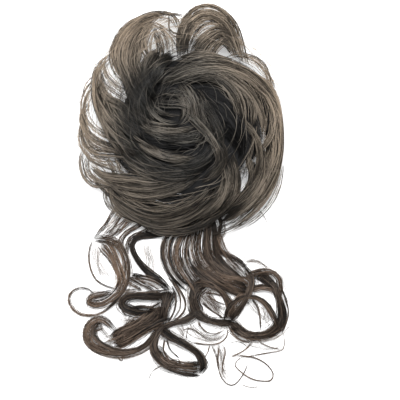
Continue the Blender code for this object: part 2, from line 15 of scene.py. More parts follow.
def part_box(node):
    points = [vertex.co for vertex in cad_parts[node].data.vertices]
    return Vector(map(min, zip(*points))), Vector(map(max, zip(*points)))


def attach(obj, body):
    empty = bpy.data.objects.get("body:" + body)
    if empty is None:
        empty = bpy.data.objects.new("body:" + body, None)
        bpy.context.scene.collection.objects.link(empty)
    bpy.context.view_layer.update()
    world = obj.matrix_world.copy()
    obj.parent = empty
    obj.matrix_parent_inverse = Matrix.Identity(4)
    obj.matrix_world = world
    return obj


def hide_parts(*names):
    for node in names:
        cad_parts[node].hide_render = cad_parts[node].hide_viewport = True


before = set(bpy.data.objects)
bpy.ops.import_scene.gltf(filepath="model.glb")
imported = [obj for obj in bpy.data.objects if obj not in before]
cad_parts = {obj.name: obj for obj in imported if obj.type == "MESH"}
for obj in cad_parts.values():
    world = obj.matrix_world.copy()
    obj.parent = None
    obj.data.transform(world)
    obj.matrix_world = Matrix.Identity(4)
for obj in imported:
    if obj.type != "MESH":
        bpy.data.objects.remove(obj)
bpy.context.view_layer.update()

# The drawing's grid, and the bun's middle over the elastic ring.
STEP = 0.00075
RING_LOW, RING_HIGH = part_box("elastic_band")
MIDDLE = np.array([(RING_LOW[0] + RING_HIGH[0]) / 2, (RING_LOW[1] + RING_HIGH[1]) / 2, 0.0])
RING_OUTER = (RING_HIGH[0] - RING_LOW[0]) / 2
RING_WALL = 0.0050
RING_HEIGHT = RING_HIGH[2]
RING_SIDES = 16
GATHERS = 40
GATHER_STEPS = 6
GATHER_DEPTH = 0.16
GATHER_UNEVENNESS = 1.2

# The crown of the bun: its radius, its depth, and its height from the middle outwards as shares of them.
BUN_RADIUS = 0.075
BUN_DEPTH = 0.058
CROWN_REACH = (0.00, 0.20, 0.40, 0.60, 0.76, 0.90, 1.00, 1.20)
CROWN_HEIGHT = (0.82, 0.88, 0.93, 0.85, 0.68, 0.48, 0.31, 0.18)
CROWN_EASING = 0.06
STEEPEST_SIDE = 0.9

# The hollow backing under the locks, off the ring's middle. Its levels, edge and foot are shares of the
# bun's radius.
BACKING_LEVELS = (0.05, 0.15, 0.25, 0.35, 0.45, 0.55, 0.61)
BACKING_REACH = 0.66
BACKING_FOOT = 0.52
BACKING_SIDES = 64
BACKING_SHIFT = (0.06, -0.10)
BACKING_SINK = 0.0068
BELLY_HEIGHT = 0.015
FOOT_CLEARANCE = 0.001
RING_CLEARANCE = 0.0005

# The hollow over the elastic ring narrows from its shoulder to its top.
HOLLOW_RADIUS = 0.0202
HOLLOW_TOP = 0.0335
HOLLOW_SHOULDER = 0.75
HOLLOW_TOP_WIDTH = 0.6

# The tails leave under the bun between these directions, in degrees from +X. The hair over them is raised.
TAIL_SECTOR = (205.0, 312.0)
TAIL_SECTOR_EDGE = 14.0
TAIL_PASSAGE = 0.0068

# Where hair lies deep between its crests, painted shade: across, along and reach in steps, and how dark it
# gets.
PAINTED_HOLLOW_SHADES = (
    (-42, 24, 17, 0.92), (-42, 6, 15, 0.92), (-45, -10, 18, 0.92), (-36, -30, 17, 0.92), (-18, -50, 17, 0.92),
    (12, -52, 15, 0.92), (32, 6, 12, 0.92), (44, -40, 13, 0.92), (-30, 34, 16, 0.92), (62, -60, 10, 0.92),
    (-12, 52, 12, 0.92), (7, 66, 12, 0.92), (-14, 10, 8, 0.85), (-10, -28, 10, 0.92), (-34, -22, 9, 0.80),
    (48, -24, 14, 0.92), (24, -34, 8, 0.92), (-48, 14, 14, 0.92), (-10, -52, 12, 0.92), (27, 27, 13, 0.92),
    (32, -8, 10, 0.92), (36, -106, 16, 0.80), (50, -92, 12, 0.80), (14, -110, 12, 0.80), (45, 86, 14, 0.55),
    (36, 104, 10, 0.40), (76, -32, 14, 0.35), (72, 18, 13, 0.35), (-30, -100, 20, 0.35), (60, -76, 12, 0.50),
    (-22, -51, 14, 0.92), (-34, 16, 15, 0.80), (44, 34, 10, 0.40), (22, -50, 13, 0.90),
    (43, 70, 8, 0.50), (33, 20, 9, 0.70), (36, -50, 10, 0.80), (72, -50, 11, 0.45),
)

# Strands: their radii, their sides, how thin they start and end and how fast they swell, how many share a
# clump, and how near they come to the floor.
STRAND_RADIUS = 0.00014
TAIL_STRAND_RADIUS = 0.00013
FINE_RADIUS = 0.00016
HAZE_RADIUS = 0.00007
FLYAWAY_RADIUS = 0.8 * FINE_RADIUS
BELLY_STRAND_RADIUS = 1.2 * STRAND_RADIUS
STRAND_SIDES = 3
ROOT_THICKNESS = 0.45
ROOT_SWELL = 6
TIP_THICKNESS = 0.35
TIP_SWELL = 5
CLUMP_SIZE = 9
FLOOR_CLEARANCE = 0.0002

# Strands for each step of a lock's half width, and the steps between two places of a strand.
BUN_DENSITY = 20
DEEP_DENSITY = 10
TAIL_DENSITY = 19
BUN_SPACING = 12.5
TAIL_SPACING = 8.5
WISP_SPACING = 5

# How far inside its lock a strand may start, as a share of the lock's length. It may end TIP_TRIM times as
# far inside.
BUN_TRIM = 0.16
NEST_TRIM = 0.34
TAIL_TRIM = 0.06
WISP_TRIM = 0.15
STRAY_TRIM = 0.40
TIP_TRIM = 1.6

# A lock is 2 wide and 2 thick here, from -1 to 1. How far it arches, how many of its strands are free, how
# its clumps stand, drift and spread, how deep strands lie, and how far out one may go.
LOCK_ARCH = 0.8
FREE_SHARE = 0.3
WISP_FREE_SHARE = 0.9
CLUMP_EDGE = 0.88
CLUMP_UNEVENNESS = 0.08
CLUMP_DRIFT = 0.22
CLUMP_SPREAD = 0.55
CLUMP_DEPTHS = (-0.45, 0.5)
FREE_DEPTHS = (-0.6, 0.8)
DEPTH_CHANCE = 0.22
LOCK_EDGE = 1.05

# How many waves a clump and a strand make along a lock, and how far they wave, as a share of its half width.
CLUMP_WAVES = (0.4, 1.2)
STRAND_WAVES = (0.8, 2.4)
LOCK_WANDER = 0.12
STRAY_WANDER = 0.25
WISP_WANDER = 0.40
HAZE_WANDER = 0.10

# A lock's half thickness in steps: a least one, and how much its half width adds.
BUN_THICKNESS = (1.0, 0.42)
TAIL_THICKNESS = (0.8, 0.30)

# A lock's width and thickness at its start and end, as shares of those of its middle, and how long it eases.
BUN_END_WIDTHS = (0.55, 0.5)
BUN_END_THICKNESSES = (0.6, 0.5)
BUN_EASE = 0.22
TAIL_END_WIDTHS = (0.7, 0.35)
TAIL_END_THICKNESSES = (0.8, 0.4)
TAIL_EASE = 0.12
WISP_END_WIDTHS = (1.0, 0.8)

# How far a bun lock's ends dip under its neighbours, and the length and swell of a tail lock's waves.
END_DIP = 4.0
TAIL_WAVE = 60
TAIL_SWELL = 0.18

# A lock this full gets a dark inside, as painted shade. One with DEEP_TONE or less lies deep and takes the
# darker colours of painted shade, and one with LIT or more, a lit crest, keeps its painted light in a hollow
# instead of the hollow's painted shade. A wisp at least HAZE_WIDTH wide is haze: hairs too fine to be seen
# one by one.
FULL = 1.0
DEEP_TONE = -0.3
LIT = 0.1
HAZE_WIDTH = 2.0

# A strand's shade, from 0 for dark to 1 for light, and how far each cause moves it. Its lock's tone is partly
# the hair's own and partly painted light and shade; its depth in the lock, ends that tuck under neighbours
# and hollows are painted shade; its gleams are painted highlights along it; its clump and chance are its own
# colour.
# The fill and belly strands keep low shades, as painted shade under the locks.
SHADE_MIDDLE = 0.34
SHADE_BY_TONE = 0.60
PAINTED_SHADE_BY_DEPTH = 0.28
SHADE_BY_CLUMP = 0.28
SHADE_BY_CHANCE = 0.22
PAINTED_GLEAM = 0.17
GLEAM_WAVES = (0.7, 1.6)
TUCKED_PAINTED_SHADE = 0.6
STRAY_PAINTED_SHADE = 0.8
FLYAWAY_PAINTED_SHADE = 0.6
FILL_SHADES = (0.0, 0.5)
BELLY_SHADES = (0.05, 0.5)
WISP_SHADES = (0.2, 0.8)
FLYAWAY_SHADES = (0.4, 1)

# A strand's tone, from 0 for cool and dark to 1 for brown. In the bun it is painted light and shade: cool and
# dark in the middle as painted shade, rising towards the rim as painted light through the thin hair there,
# less so low down. The fill and belly strands are set darker, as painted shade under the locks.
TONE_MIDDLE = 0.10
PAINTED_RIM_LIGHT = 0.68
PAINTED_RIM_LIGHT_LOST_LOW = 0.42
TONE_START = 0.35
TONE_REACH = 0.75
TONE_BY_LOCK = 0.4
TAIL_TONE = 0.40
WISP_TONE = 0.5
STRAY_TONE = 0.1
FILL_TONE = -0.15
BELLY_TONE = -0.1

# Strays: how many for each strand of a lock, how far beside it they go, and how many of them are bright, as
# painted highlights.
STRAY_SHARE = 0.32
TAIL_STRAY_SHARE = 0.30
STRAY_SPREAD = 1.4
TAIL_STRAY_SPREAD = 1.7
HIGHLIGHT_SHARE = 0.65
HIGHLIGHT_STRAYS = (0.55, 1)
DARK_STRAYS = (0, 0.25)

# The thinnest and thickest strands of a lock, and of its strays, as shares of its strand radius.
LOCK_RADII = (0.85, 1.25)
STRAY_RADII = (0.5, 1.5)

# Single hairs off the bun: how many, nearest and farthest start as a share of the bun's radius, how far they
# turn, how far they move outwards, and their lowest and highest lift in steps.
FLYAWAYS = (
    (260, 0.15, 0.95, 0.9, 0.05, 3, 8),
    (170, 0.86, 0.98, 0.6, 0.10, 1, 5),
)
FLYAWAY_PLACES = 12
FLYAWAY_TURNS = (0.5, 1.0)
FLYAWAY_WAVES = (0.5, 1.3)
FLYAWAY_WAVE_DEPTH = 0.012
FLYAWAY_CHANCE = 0.05

# The short strands on the backing, dark as painted shade: how many, where they start, how far they run, and
# their lift.
FILL_COUNT = 600
FILL_PLACES = 8
FILL_START = (0.04, 0.55)
FILL_RUN = (0.12, 0.3)
FILL_TURN = (0.6, 1.3)
FILL_LIFT = (0.0, 2.5e-3)
FILL_CLEARANCE = 0.0004

# The strands round the belly: how many, how far they turn, and their reach and height from the top down.
BELLY_COUNT = 420
BELLY_PLACES = 11
BELLY_TURN = (0.3, 0.9)
BELLY_DOWN = (0, 0.25, 0.5, 0.75, 1)
BELLY_REACH = (0.97, 1.05, 0.92, 0.62, 0.36)
BELLY_HEIGHTS = (0.030, 0.016, 0.004, 0.0015, 0.004)
BELLY_REACH_CHANCE = (-0.05, 0.06)
BELLY_HEIGHT_CHANCE = 0.0006
BELLY_UNDER = 0.0004

# The chance of each kind of hair starts from its own seed, and a region or a tail adds its number.
BUN_SEED = 100
TAIL_SEED = 200
WISP_SEED = 300
FILL_SEED = 400
BELLY_SEED = 500
FLYAWAY_SEED = 600

# The dark insides of the locks, as painted shade inside the hair: where on a lock they run, how wide and
# thick they are and how deep they lie, as shares of the lock's, and how they taper.
CORE_SECTIONS = 18
CORE_SIDES = 10
CORE_RUN = (0.05, 0.95)
CORE_WIDTH = 0.8
CORE_THICKNESS = 0.5
CORE_SINK = 0.35
CORE_END = 0.05
CORE_EASE = 0.2

# Colours, each from dark and cool to light and brown: the bun's hair, from painted shade in its middle to
# painted light at its rim; the tails' hair; the strands deep between locks and the insides of the locks, both
# dark as painted shade; and the knitted elastic.
BUN_COLOURS = ((0.028, 0.0282, 0.0262), (0.122, 0.096, 0.071))
TAIL_COLOURS = ((0.022, 0.0185, 0.016), (0.088, 0.060, 0.042))
SHADED_UNDER_COLOURS = ((0.010, 0.010, 0.0105), (0.024, 0.021, 0.018))
SHADED_INNER_COLOURS = ((0.006, 0.006, 0.0065), (0.018, 0.018, 0.0185))
KNIT_COLOURS = ((0.006, 0.006, 0.007), (0.022, 0.022, 0.024))

# A strand's brightness by its shade, how uneven it is along the strand, and its roughness.
FIBRE_BRIGHTNESS = (0.28, 3.90)
FIBRE_MOTTLE = (0.75, 1.25)
FIBRE_ROUGHNESS = (0.30, 0.46)
MOTTLE_STRETCH = (160, 5, 1)
HAIR_SPECULAR = 0.18
UNDER_SPECULAR = 0.1

# How fine the streaks inside the locks and the rows of the elastic are, as the scales of their patterns.
STREAK_SCALE = 900
ROW_SCALE = 400

# A mix node's sockets for its two colours and for their blend.
FIRST_COLOUR, SECOND_COLOUR, BLENDED_COLOUR = 6, 7, 2

# The stage.
FLOOR_HALF_SIZE = 2.0
FLOOR_WHITE = 0.92
FLOOR_GLOW = 0.30
ROOM_LIGHT = 0.40
SOFTBOX_SIZE = 0.30
SOFTBOXES = (
    ("top_softbox", (0.03, 0.22, 0.85), 10),
    ("left_softbox", (-0.60, 0.30, 0.55), 4),
)
# The picture shows this many grid steps, and its middle is so many steps right of the bun's and below it.
SHOWN_STEPS = 400
PICTURE_MIDDLE = (18.5, -82)
LENS = 180
SENSOR = 36
CAMERA_RISE = 0.008


def bun_locks():
    """Each lock of the bun: half width, lift, fullness, tone (partly painted light and shade), and its route.
    """
    return {
        "upper_left": (
            (4.5, 2, 0.8, 0.12, ((-12, 101), (-24, 103), (-38, 99), (-50, 93), (-59, 84), (-65, 73),
                (-67, 61), (-64, 48), (-56, 37), (-45, 28))),
            (5.5, 3, 1.0, 0.05, ((-16, 103), (-33, 98), (-47, 90), (-56, 79), (-61, 67), (-61, 54),
                (-55, 42), (-45, 31))),
            (6.5, 4, 1.0, 0.05, ((-24, 101), (-40, 91), (-51, 77), (-56, 62), (-55, 47), (-48, 34),
                (-38, 22))),
            (6.5, 4, 1.0, -0.05, ((-30, 94), (-42, 82), (-48, 68), (-50, 53), (-47, 39), (-40, 27),
                (-29, 16))),
            (5.0, 2, 0.9, -0.10, ((-31, 90), (-38, 77), (-42, 63), (-43, 49), (-38, 36), (-29, 24))),
            (3.0, 2, 0.5, 0.25, ((-29, 93), (-36, 82), (-38, 71), (-34, 60), (-26, 50))),
            (3.5, 1, 0.8, 0.05, ((-27, 84), (-23, 77), (-20, 68), (-19, 58), (-21, 48))),
            (4.0, 1, 0.5, 0.10, ((-26, 95), (-34, 86), (-39, 75), (-38, 64), (-32, 54))),
            (5.0, 0, 0.25, 0.05, ((-22, 88), (-27, 78), (-29, 67), (-27, 56), (-22, 46))),
            (4.5, 1, 0.24, 0.30, ((-33, 94), (-21, 88), (-12, 79), (-6, 68), (-3, 58))),
            (5.0, 0, 0.24, 0.20, ((-24, 90), (-16, 80), (-13, 68), (-14, 56))),
            (3.5, 1, 0.4, 0.10, ((-3, 84), (-5, 94), (-11, 102), (-21, 104), (-34, 102), (-47, 96),
                (-57, 87))),
            (6.5, 1, 1.0, -0.10, ((-40, 88), (-51, 74), (-56, 58), (-55, 42), (-48, 26), (-40, 10),
                (-31, -6), (-20, -16))),
            (6.0, 1, 1.0, -0.20, ((-36, 76), (-45, 62), (-48, 46), (-44, 30), (-37, 14), (-29, 2),
                (-18, -8))),
            (7.0, 0, 1.0, -0.22, ((-22, 66), (-30, 54), (-34, 40), (-32, 26), (-25, 14))),
            (6.0, 0, 1.0, -0.26, ((-8, 60), (-18, 52), (-24, 40), (-24, 28))),
        ),
        "left": (
            (5.0, 2, 0.7, 0.08, ((-64, 64), (-74, 58), (-81, 48), (-84, 38), (-84, 23), (-81, 8), (-76, -4),
                (-70, -17), (-61, -30), (-53, -40))),
            (5.0, 3, 1.0, -0.05, ((-79, 40), (-81, 28), (-78, 18), (-73, 8), (-68, -2), (-59, -14),
                (-49, -24))),
            (6.0, 2, 1.0, -0.15, ((-72, 24), (-69, 10), (-62, -2), (-53, -12), (-42, -21), (-30, -28))),
            (5.0, 1, 1.0, -0.10, ((-83, 40), (-79, 27), (-71, 16), (-59, 10), (-49, 1), (-38, -8),
                (-27, -15))),
            (6.0, 1, 1.0, -0.20, ((-62, 16), (-57, 4), (-49, -8), (-39, -18), (-28, -26))),
            (6.0, 2, 1.0, -0.05, ((-78, 22), (-76, 6), (-69, -8), (-60, -21), (-50, -32), (-38, -41))),
            (2.5, 1, 0.3, 0.25, ((-76, 58), (-74, 46), (-69, 37), (-61, 30), (-50, 25))),
            (4.0, 1, 0.3, 0.20, ((-78, 52), (-77, 40), (-70, 30), (-60, 22), (-50, 14))),
            (3.0, 1, 0.35, 0.10, ((-82, 34), (-89, 25), (-94, 16), (-95, 6), (-92, -3), (-84, -12),
                (-72, -20), (-60, -26))),
            (2.5, 1, 0.25, 0.15, ((-84, 40), (-92, 30), (-98, 18), (-99, 6), (-96, -5), (-89, -14),
                (-79, -21))),
            (3.5, 1, 0.8, 0.05, ((-90, 14), (-98, 4), (-97, -8), (-90, -18), (-80, -25), (-68, -30),
                (-55, -35))),
            (3.0, 1, 0.5, 0.05, ((-95, 0), (-95, -14), (-88, -25), (-78, -31), (-65, -34), (-52, -38))),
            (3.5, 1, 0.7, 0.00, ((-94, 4), (-98, -8), (-98, -20), (-93, -30), (-84, -36), (-70, -38),
                (-56, -39), (-42, -42))),
            (4.0, 1, 0.3, 0.10, ((-98, -30), (-90, -40), (-78, -46), (-64, -50), (-50, -54))),
            (2.0, 1, 0.4, 0.10, ((-96, 2), (-100, -12), (-100, -25), (-95, -34), (-87, -41), (-74, -43),
                (-60, -43))),
            (5.0, 1, 0.9, -0.20, ((-81, -12), (-69, -19), (-55, -25), (-41, -31), (-28, -36))),
            (2.0, 1, 0.5, 0.10, ((-74, -40), (-70, -46), (-67, -53), (-63, -60))),
            (2.0, 1, 0.5, 0.10, ((-66, -40), (-62, -46), (-60, -53), (-57, -60))),
            (2.5, 1, 0.45, 0.15, ((-97, -30), (-100, -40), (-99, -52), (-95, -61), (-88, -67), (-79, -68),
                (-69, -66), (-56, -67))),
            (3.0, 1, 0.45, 0.10, ((-92, -36), (-95, -46), (-93, -56), (-85, -63), (-75, -66), (-62, -70),
                (-48, -74))),
            (5.0, 3, 1.0, 0.00, ((-90, -49), (-79, -57), (-65, -60), (-52, -61), (-38, -63), (-22, -65),
                (-6, -64))),
            (3.5, 0, 0.4, 0.00, ((-90, -54), (-84, -64), (-76, -73), (-67, -81), (-56, -88))),
        ),
        "bottom": (
            (6.0, 4, 1.0, -0.10, ((-82, -55), (-71, -63), (-58, -68), (-41, -70), (-23, -69), (-5, -65),
                (11, -60))),
            (6.0, 4, 1.0, -0.10, ((-78, -58), (-64, -69), (-48, -76), (-31, -78), (-13, -74), (5, -66),
                (19, -57))),
            (7.0, 4, 1.0, -0.05, ((-75, -63), (-67, -75), (-56, -84), (-42, -92), (-25, -96), (-7, -92),
                (9, -84), (22, -74), (32, -62))),
            (6.5, 5, 1.0, -0.05, ((-73, -69), (-66, -80), (-55, -91), (-42, -99), (-25, -105), (-5, -103),
                (12, -96), (26, -85), (37, -73), (45, -60))),
            (4.5, 1, 0.9, 0.00, ((-60, -82), (-51, -94), (-39, -103), (-24, -112), (-2, -113), (18, -108),
                (35, -98), (49, -84))),
            (4.0, 1, 0.7, -0.04, ((-68, -62), (-70, -74), (-67, -85), (-61, -94), (-47, -101),
                (-28, -106))),
            (2.5, 2, 0.3, 0.06, ((-74, -66), (-76, -78), (-71, -89), (-61, -97), (-46, -104))),
            (9.0, -7, 1.0, -0.30, ((-68, -60), (-54, -76), (-36, -87), (-14, -93), (8, -91), (28, -83),
                (46, -70), (58, -54))),
            (8.0, -6, 1.0, -0.30, ((-70, 20), (-70, -2), (-64, -24), (-55, -42), (-42, -56), (-24, -65),
                (-4, -68))),
            (6.0, -3, 1.0, -0.30, ((-34, -72), (-16, -79), (4, -81), (22, -76), (36, -66))),
            (5.0, -2, 1.0, -0.30, ((-46, -66), (-30, -76), (-12, -82), (6, -82), (20, -78))),
            (6.0, 1, 1.0, -0.25, ((-51, -28), (-41, -38), (-29, -46), (-13, -52), (5, -53), (21, -49),
                (32, -42))),
            (6.0, 2, 1.0, -0.20, ((-63, -32), (-53, -42), (-41, -50), (-25, -57), (-7, -59), (11, -55),
                (25, -49))),
        ),
        "centre": (
            (4.4, 6, 1.0, 0.32, ((-44, -25), (-35, -31), (-25, -36), (-14, -40), (0, -41), (16, -39))),
            (1.0, 8, 0.8, 0.30, ((-50, -14), (-44, -22), (-36, -27), (-27, -32), (-18, -36))),
            (5.0, 5, 0.9, 0.27, ((-43, -3), (-33, -11), (-20, -15), (-4, -16), (8, -13), (16, -10))),
            (3.0, 6, 0.7, 0.22, ((-40, 0), (-32, -7), (-22, -10), (-10, -11), (2, -9))),
            (6.0, 3, 1.0, -0.06, ((-41, 4), (-35, -6), (-25, -16), (-11, -21), (4, -22), (18, -20),
                (30, -25))),
            (6.0, 1, 1.0, -0.30, ((-52, -4), (-45, -16), (-36, -22), (-24, -26), (-10, -28), (5, -28),
                (19, -28))),
            (5.0, 2, 1.0, -0.10, ((-20, -46), (-4, -49), (12, -47), (24, -40), (31, -30), (34, -20))),
            (2.2, 8, 1.0, 0.30, ((8, 0), (17, -7), (26, -16), (33, -26), (37, -36), (35, -48))),
            (4.0, 3, 1.0, 0.00, ((0, 6), (12, -2), (22, -12), (30, -22), (34, -34), (31, -46))),
            (6.0, 4, 0.5, 0.14, ((-2, 32), (6, 22), (12, 12), (14, 0), (18, -10))),
            (5.0, 4, 0.4, 0.16, ((-8, 24), (0, 18), (5, 8), (4, -2), (-4, -10))),
            (4.0, 4, 0.5, 0.13, ((14, 26), (20, 14), (22, 2), (26, -10), (32, -20))),
            (2.0, 5, 0.4, 0.10, ((-30, 18), (-26, 8), (-17, 2), (-6, 0), (6, 2))),
            (3.5, 4, 0.4, 0.12, ((-28, 14), (-14, 11), (-2, 11), (10, 6), (20, -2))),
            (3.0, 5, 0.6, 0.08, ((-36, 20), (-31, 6), (-22, -4), (-10, -8), (2, -6))),
            (4.0, 3, 0.3, 0.02, ((-34, 16), (-16, 21), (0, 22), (16, 19), (30, 12))),
            (4.0, 4, 0.6, 0.02, ((-48, 12), (-42, 0), (-34, -8), (-24, -14))),
            (5.0, 3, 1.0, -0.05, ((7, 18), (19, 13), (29, 3), (35, -10), (38, -24), (38, -38))),
            (5.0, 4, 1.0, 0.00, ((22, -14), (32, -24), (39, -34), (40, -44), (36, -53), (29, -60),
                (19, -65))),
        ),
        "upper_right": (
            (6.0, 5, 1.0, 0.11, ((-21, 31), (-9, 36), (4, 42), (19, 46), (34, 47), (49, 44), (64, 38),
                (77, 28), (87, 19), (95, 10), (99, -2))),
            (5.0, 4, 1.0, -0.04, ((-9, 42), (9, 52), (24, 56), (41, 54), (58, 47), (73, 38), (86, 25),
                (96, 11))),
            (6.0, 4, 1.0, 0.09, ((2, 30), (14, 36), (29, 39), (44, 38), (59, 28), (69, 18), (76, 6),
                (80, -8), (81, -22))),
            (5.0, 5, 1.0, 0.18, ((9, 34), (22, 39), (36, 37), (48, 28), (56, 16), (60, 3), (62, -10))),
            (4.0, 2, 0.9, -0.10, ((-3, 54), (11, 59), (24, 60), (36, 57), (50, 50))),
            (5.0, 1, 0.07, 0.10, ((54, 61), (64, 57), (76, 50), (87, 38), (94, 24))),
            (2.0, 1, 0.6, 0.15, ((44, 57), (54, 61), (64, 61), (73, 58), (80, 53), (85, 45), (88, 36),
                (91, 26), (95, 14))),
            (4.0, 3, 0.9, 0.00, ((49, 38), (61, 26), (69, 13), (71, 3), (69, -10))),
            (4.5, 1, 0.9, 0.10, ((54, 40), (67, 40), (79, 36), (88, 27), (94, 15), (97, 0), (98, -15))),
            (5.0, 2, 0.9, 0.05, ((60, 38), (73, 32), (84, 21), (91, 8), (94, -8), (93, -22))),
        ),
        "right": (
            (4.0, 1, 0.9, 0.05, ((86, 34), (95, 14), (98, -2), (99, -20), (98, -37), (95, -54), (88, -72),
                (76, -88), (62, -101), (48, -110))),
            (6.0, 3, 1.0, 0.00, ((81, 26), (91, 8), (95, -8), (96, -24), (95, -40), (90, -57), (81, -73),
                (68, -88), (54, -100))),
            (6.0, 4, 1.0, -0.05, ((85, -32), (86, -47), (82, -62), (74, -77), (63, -89), (49, -99),
                (35, -106))),
            (6.0, 4, 1.0, -0.10, ((74, -22), (79, -37), (79, -52), (74, -66), (65, -79), (53, -90),
                (39, -98))),
            (4.0, 4, 1.0, -0.05, ((60, -2), (69, -14), (75, -27), (77, -40), (76, -52), (71, -64),
                (63, -74))),
            (6.0, 3, 1.0, -0.10, ((42, -44), (45, -58), (43, -71), (36, -84), (24, -95), (9, -102))),
            (5.0, 3, 1.0, -0.05, ((47, -40), (51, -54), (51, -68), (47, -81), (38, -92), (25, -101))),
            (4.0, 3, 0.9, 0.00, ((87, 13), (91, -2), (89, -17), (81, -29), (71, -37))),
            (4.0, 0, 0.9, -0.35, ((50, 10), (57, -6), (61, -22), (60, -36), (54, -48))),
            (7.0, -7, 1.0, -0.30, ((54, 40), (72, 24), (84, 4), (89, -20), (88, -44), (81, -64), (69, -80),
                (52, -93))),
            (7.0, -6, 1.0, -0.30, ((44, 30), (60, 14), (70, -2), (74, -20), (73, -38))),
            (7.0, -6, 1.0, -0.30, ((40, -46), (42, -62), (38, -78), (28, -90), (14, -98))),
            (7.0, -5, 1.0, -0.30, ((38, -6), (50, -20), (58, -34), (61, -46))),
            (5.0, -4, 1.0, -0.30, ((64, -16), (69, -30), (71, -44))),
            (3.0, 1, 0.20, 0.15, ((101, -46), (97, -66), (90, -82), (79, -96), (66, -106), (52, -113))),
            (4.0, 0, 0.22, 0.05, ((70, -92), (60, -101), (50, -108), (38, -113), (24, -115))),
            (2.0, 1, 0.4, 0.10, ((97, -52), (91, -70), (81, -86), (68, -99), (55, -108), (42, -114))),
            (5.5, -5, 1.0, -0.30, ((61, -72), (53, -82), (43, -92), (30, -100))),
            (3.0, 1, 1.0, -0.10, ((64, -34), (68, -46), (69, -58), (66, -70), (58, -82))),
            (3.0, 1, 1.0, -0.05, ((50, -36), (53, -48), (56, -60), (56, -72), (51, -84))),
            (3.5, -4, 1.0, -0.30, ((72, -42), (72, -54), (69, -66), (62, -78))),
        ),
        "top": (
            (4.0, 1, 0.75, -0.10, ((-1, 56), (-2, 68), (-1, 80), (3, 94), (11, 105), (21, 110), (31, 110),
                (41, 105), (49, 96), (55, 84), (58, 71), (61, 59), (65, 49))),
            (4.5, 2, 1.0, -0.16, ((5, 56), (4, 70), (6, 84), (13, 96), (23, 102), (33, 101), (42, 94),
                (49, 84), (53, 73), (54, 61))),
            (5.5, 2, 0.85, -0.18, ((2, 58), (1, 72), (4, 86), (11, 96), (22, 102), (34, 101), (45, 92),
                (52, 78), (56, 62), (60, 50))),
            (2.5, 1, 0.2, 0.10, ((34, 109), (46, 103), (55, 91), (60, 75), (63, 60), (67, 45))),
            (3.5, 3, 0.8, 0.00, ((9, 58), (16, 72), (25, 82), (35, 88), (43, 86), (49, 78), (52, 68))),
            (4.5, 2, 0.9, -0.10, ((13, 57), (18, 68), (26, 77), (36, 82), (45, 78), (51, 68), (54, 58))),
            (3.0, 1, 0.8, -0.10, ((22, 57), (27, 65), (34, 72), (42, 73), (49, 66), (53, 57))),
            (5.0, 3, 1.0, -0.12, ((17, 56), (20, 66), (29, 76), (39, 82), (49, 78), (54, 68))),
            (4.0, 2, 0.8, 0.00, ((27, 56), (33, 66), (39, 73), (47, 76), (54, 70))),
            (4.0, 0, 0.9, -0.15, ((0, 58), (1, 70), (5, 80), (11, 87), (19, 90))),
            (0.8, 9, 0.9, -0.16, ((-13, 102), (-12, 96), (-12, 88), (-9, 82), (-2, 80), (6, 80))),
            (0.6, 9, 0.7, -0.10, ((-24, 104), (-14, 103), (-6, 102), (4, 101))),
            (5.0, 1, 0.5, -0.05, ((6, 62), (10, 77), (18, 89), (29, 95), (39, 92), (47, 82))),
        ),
    }


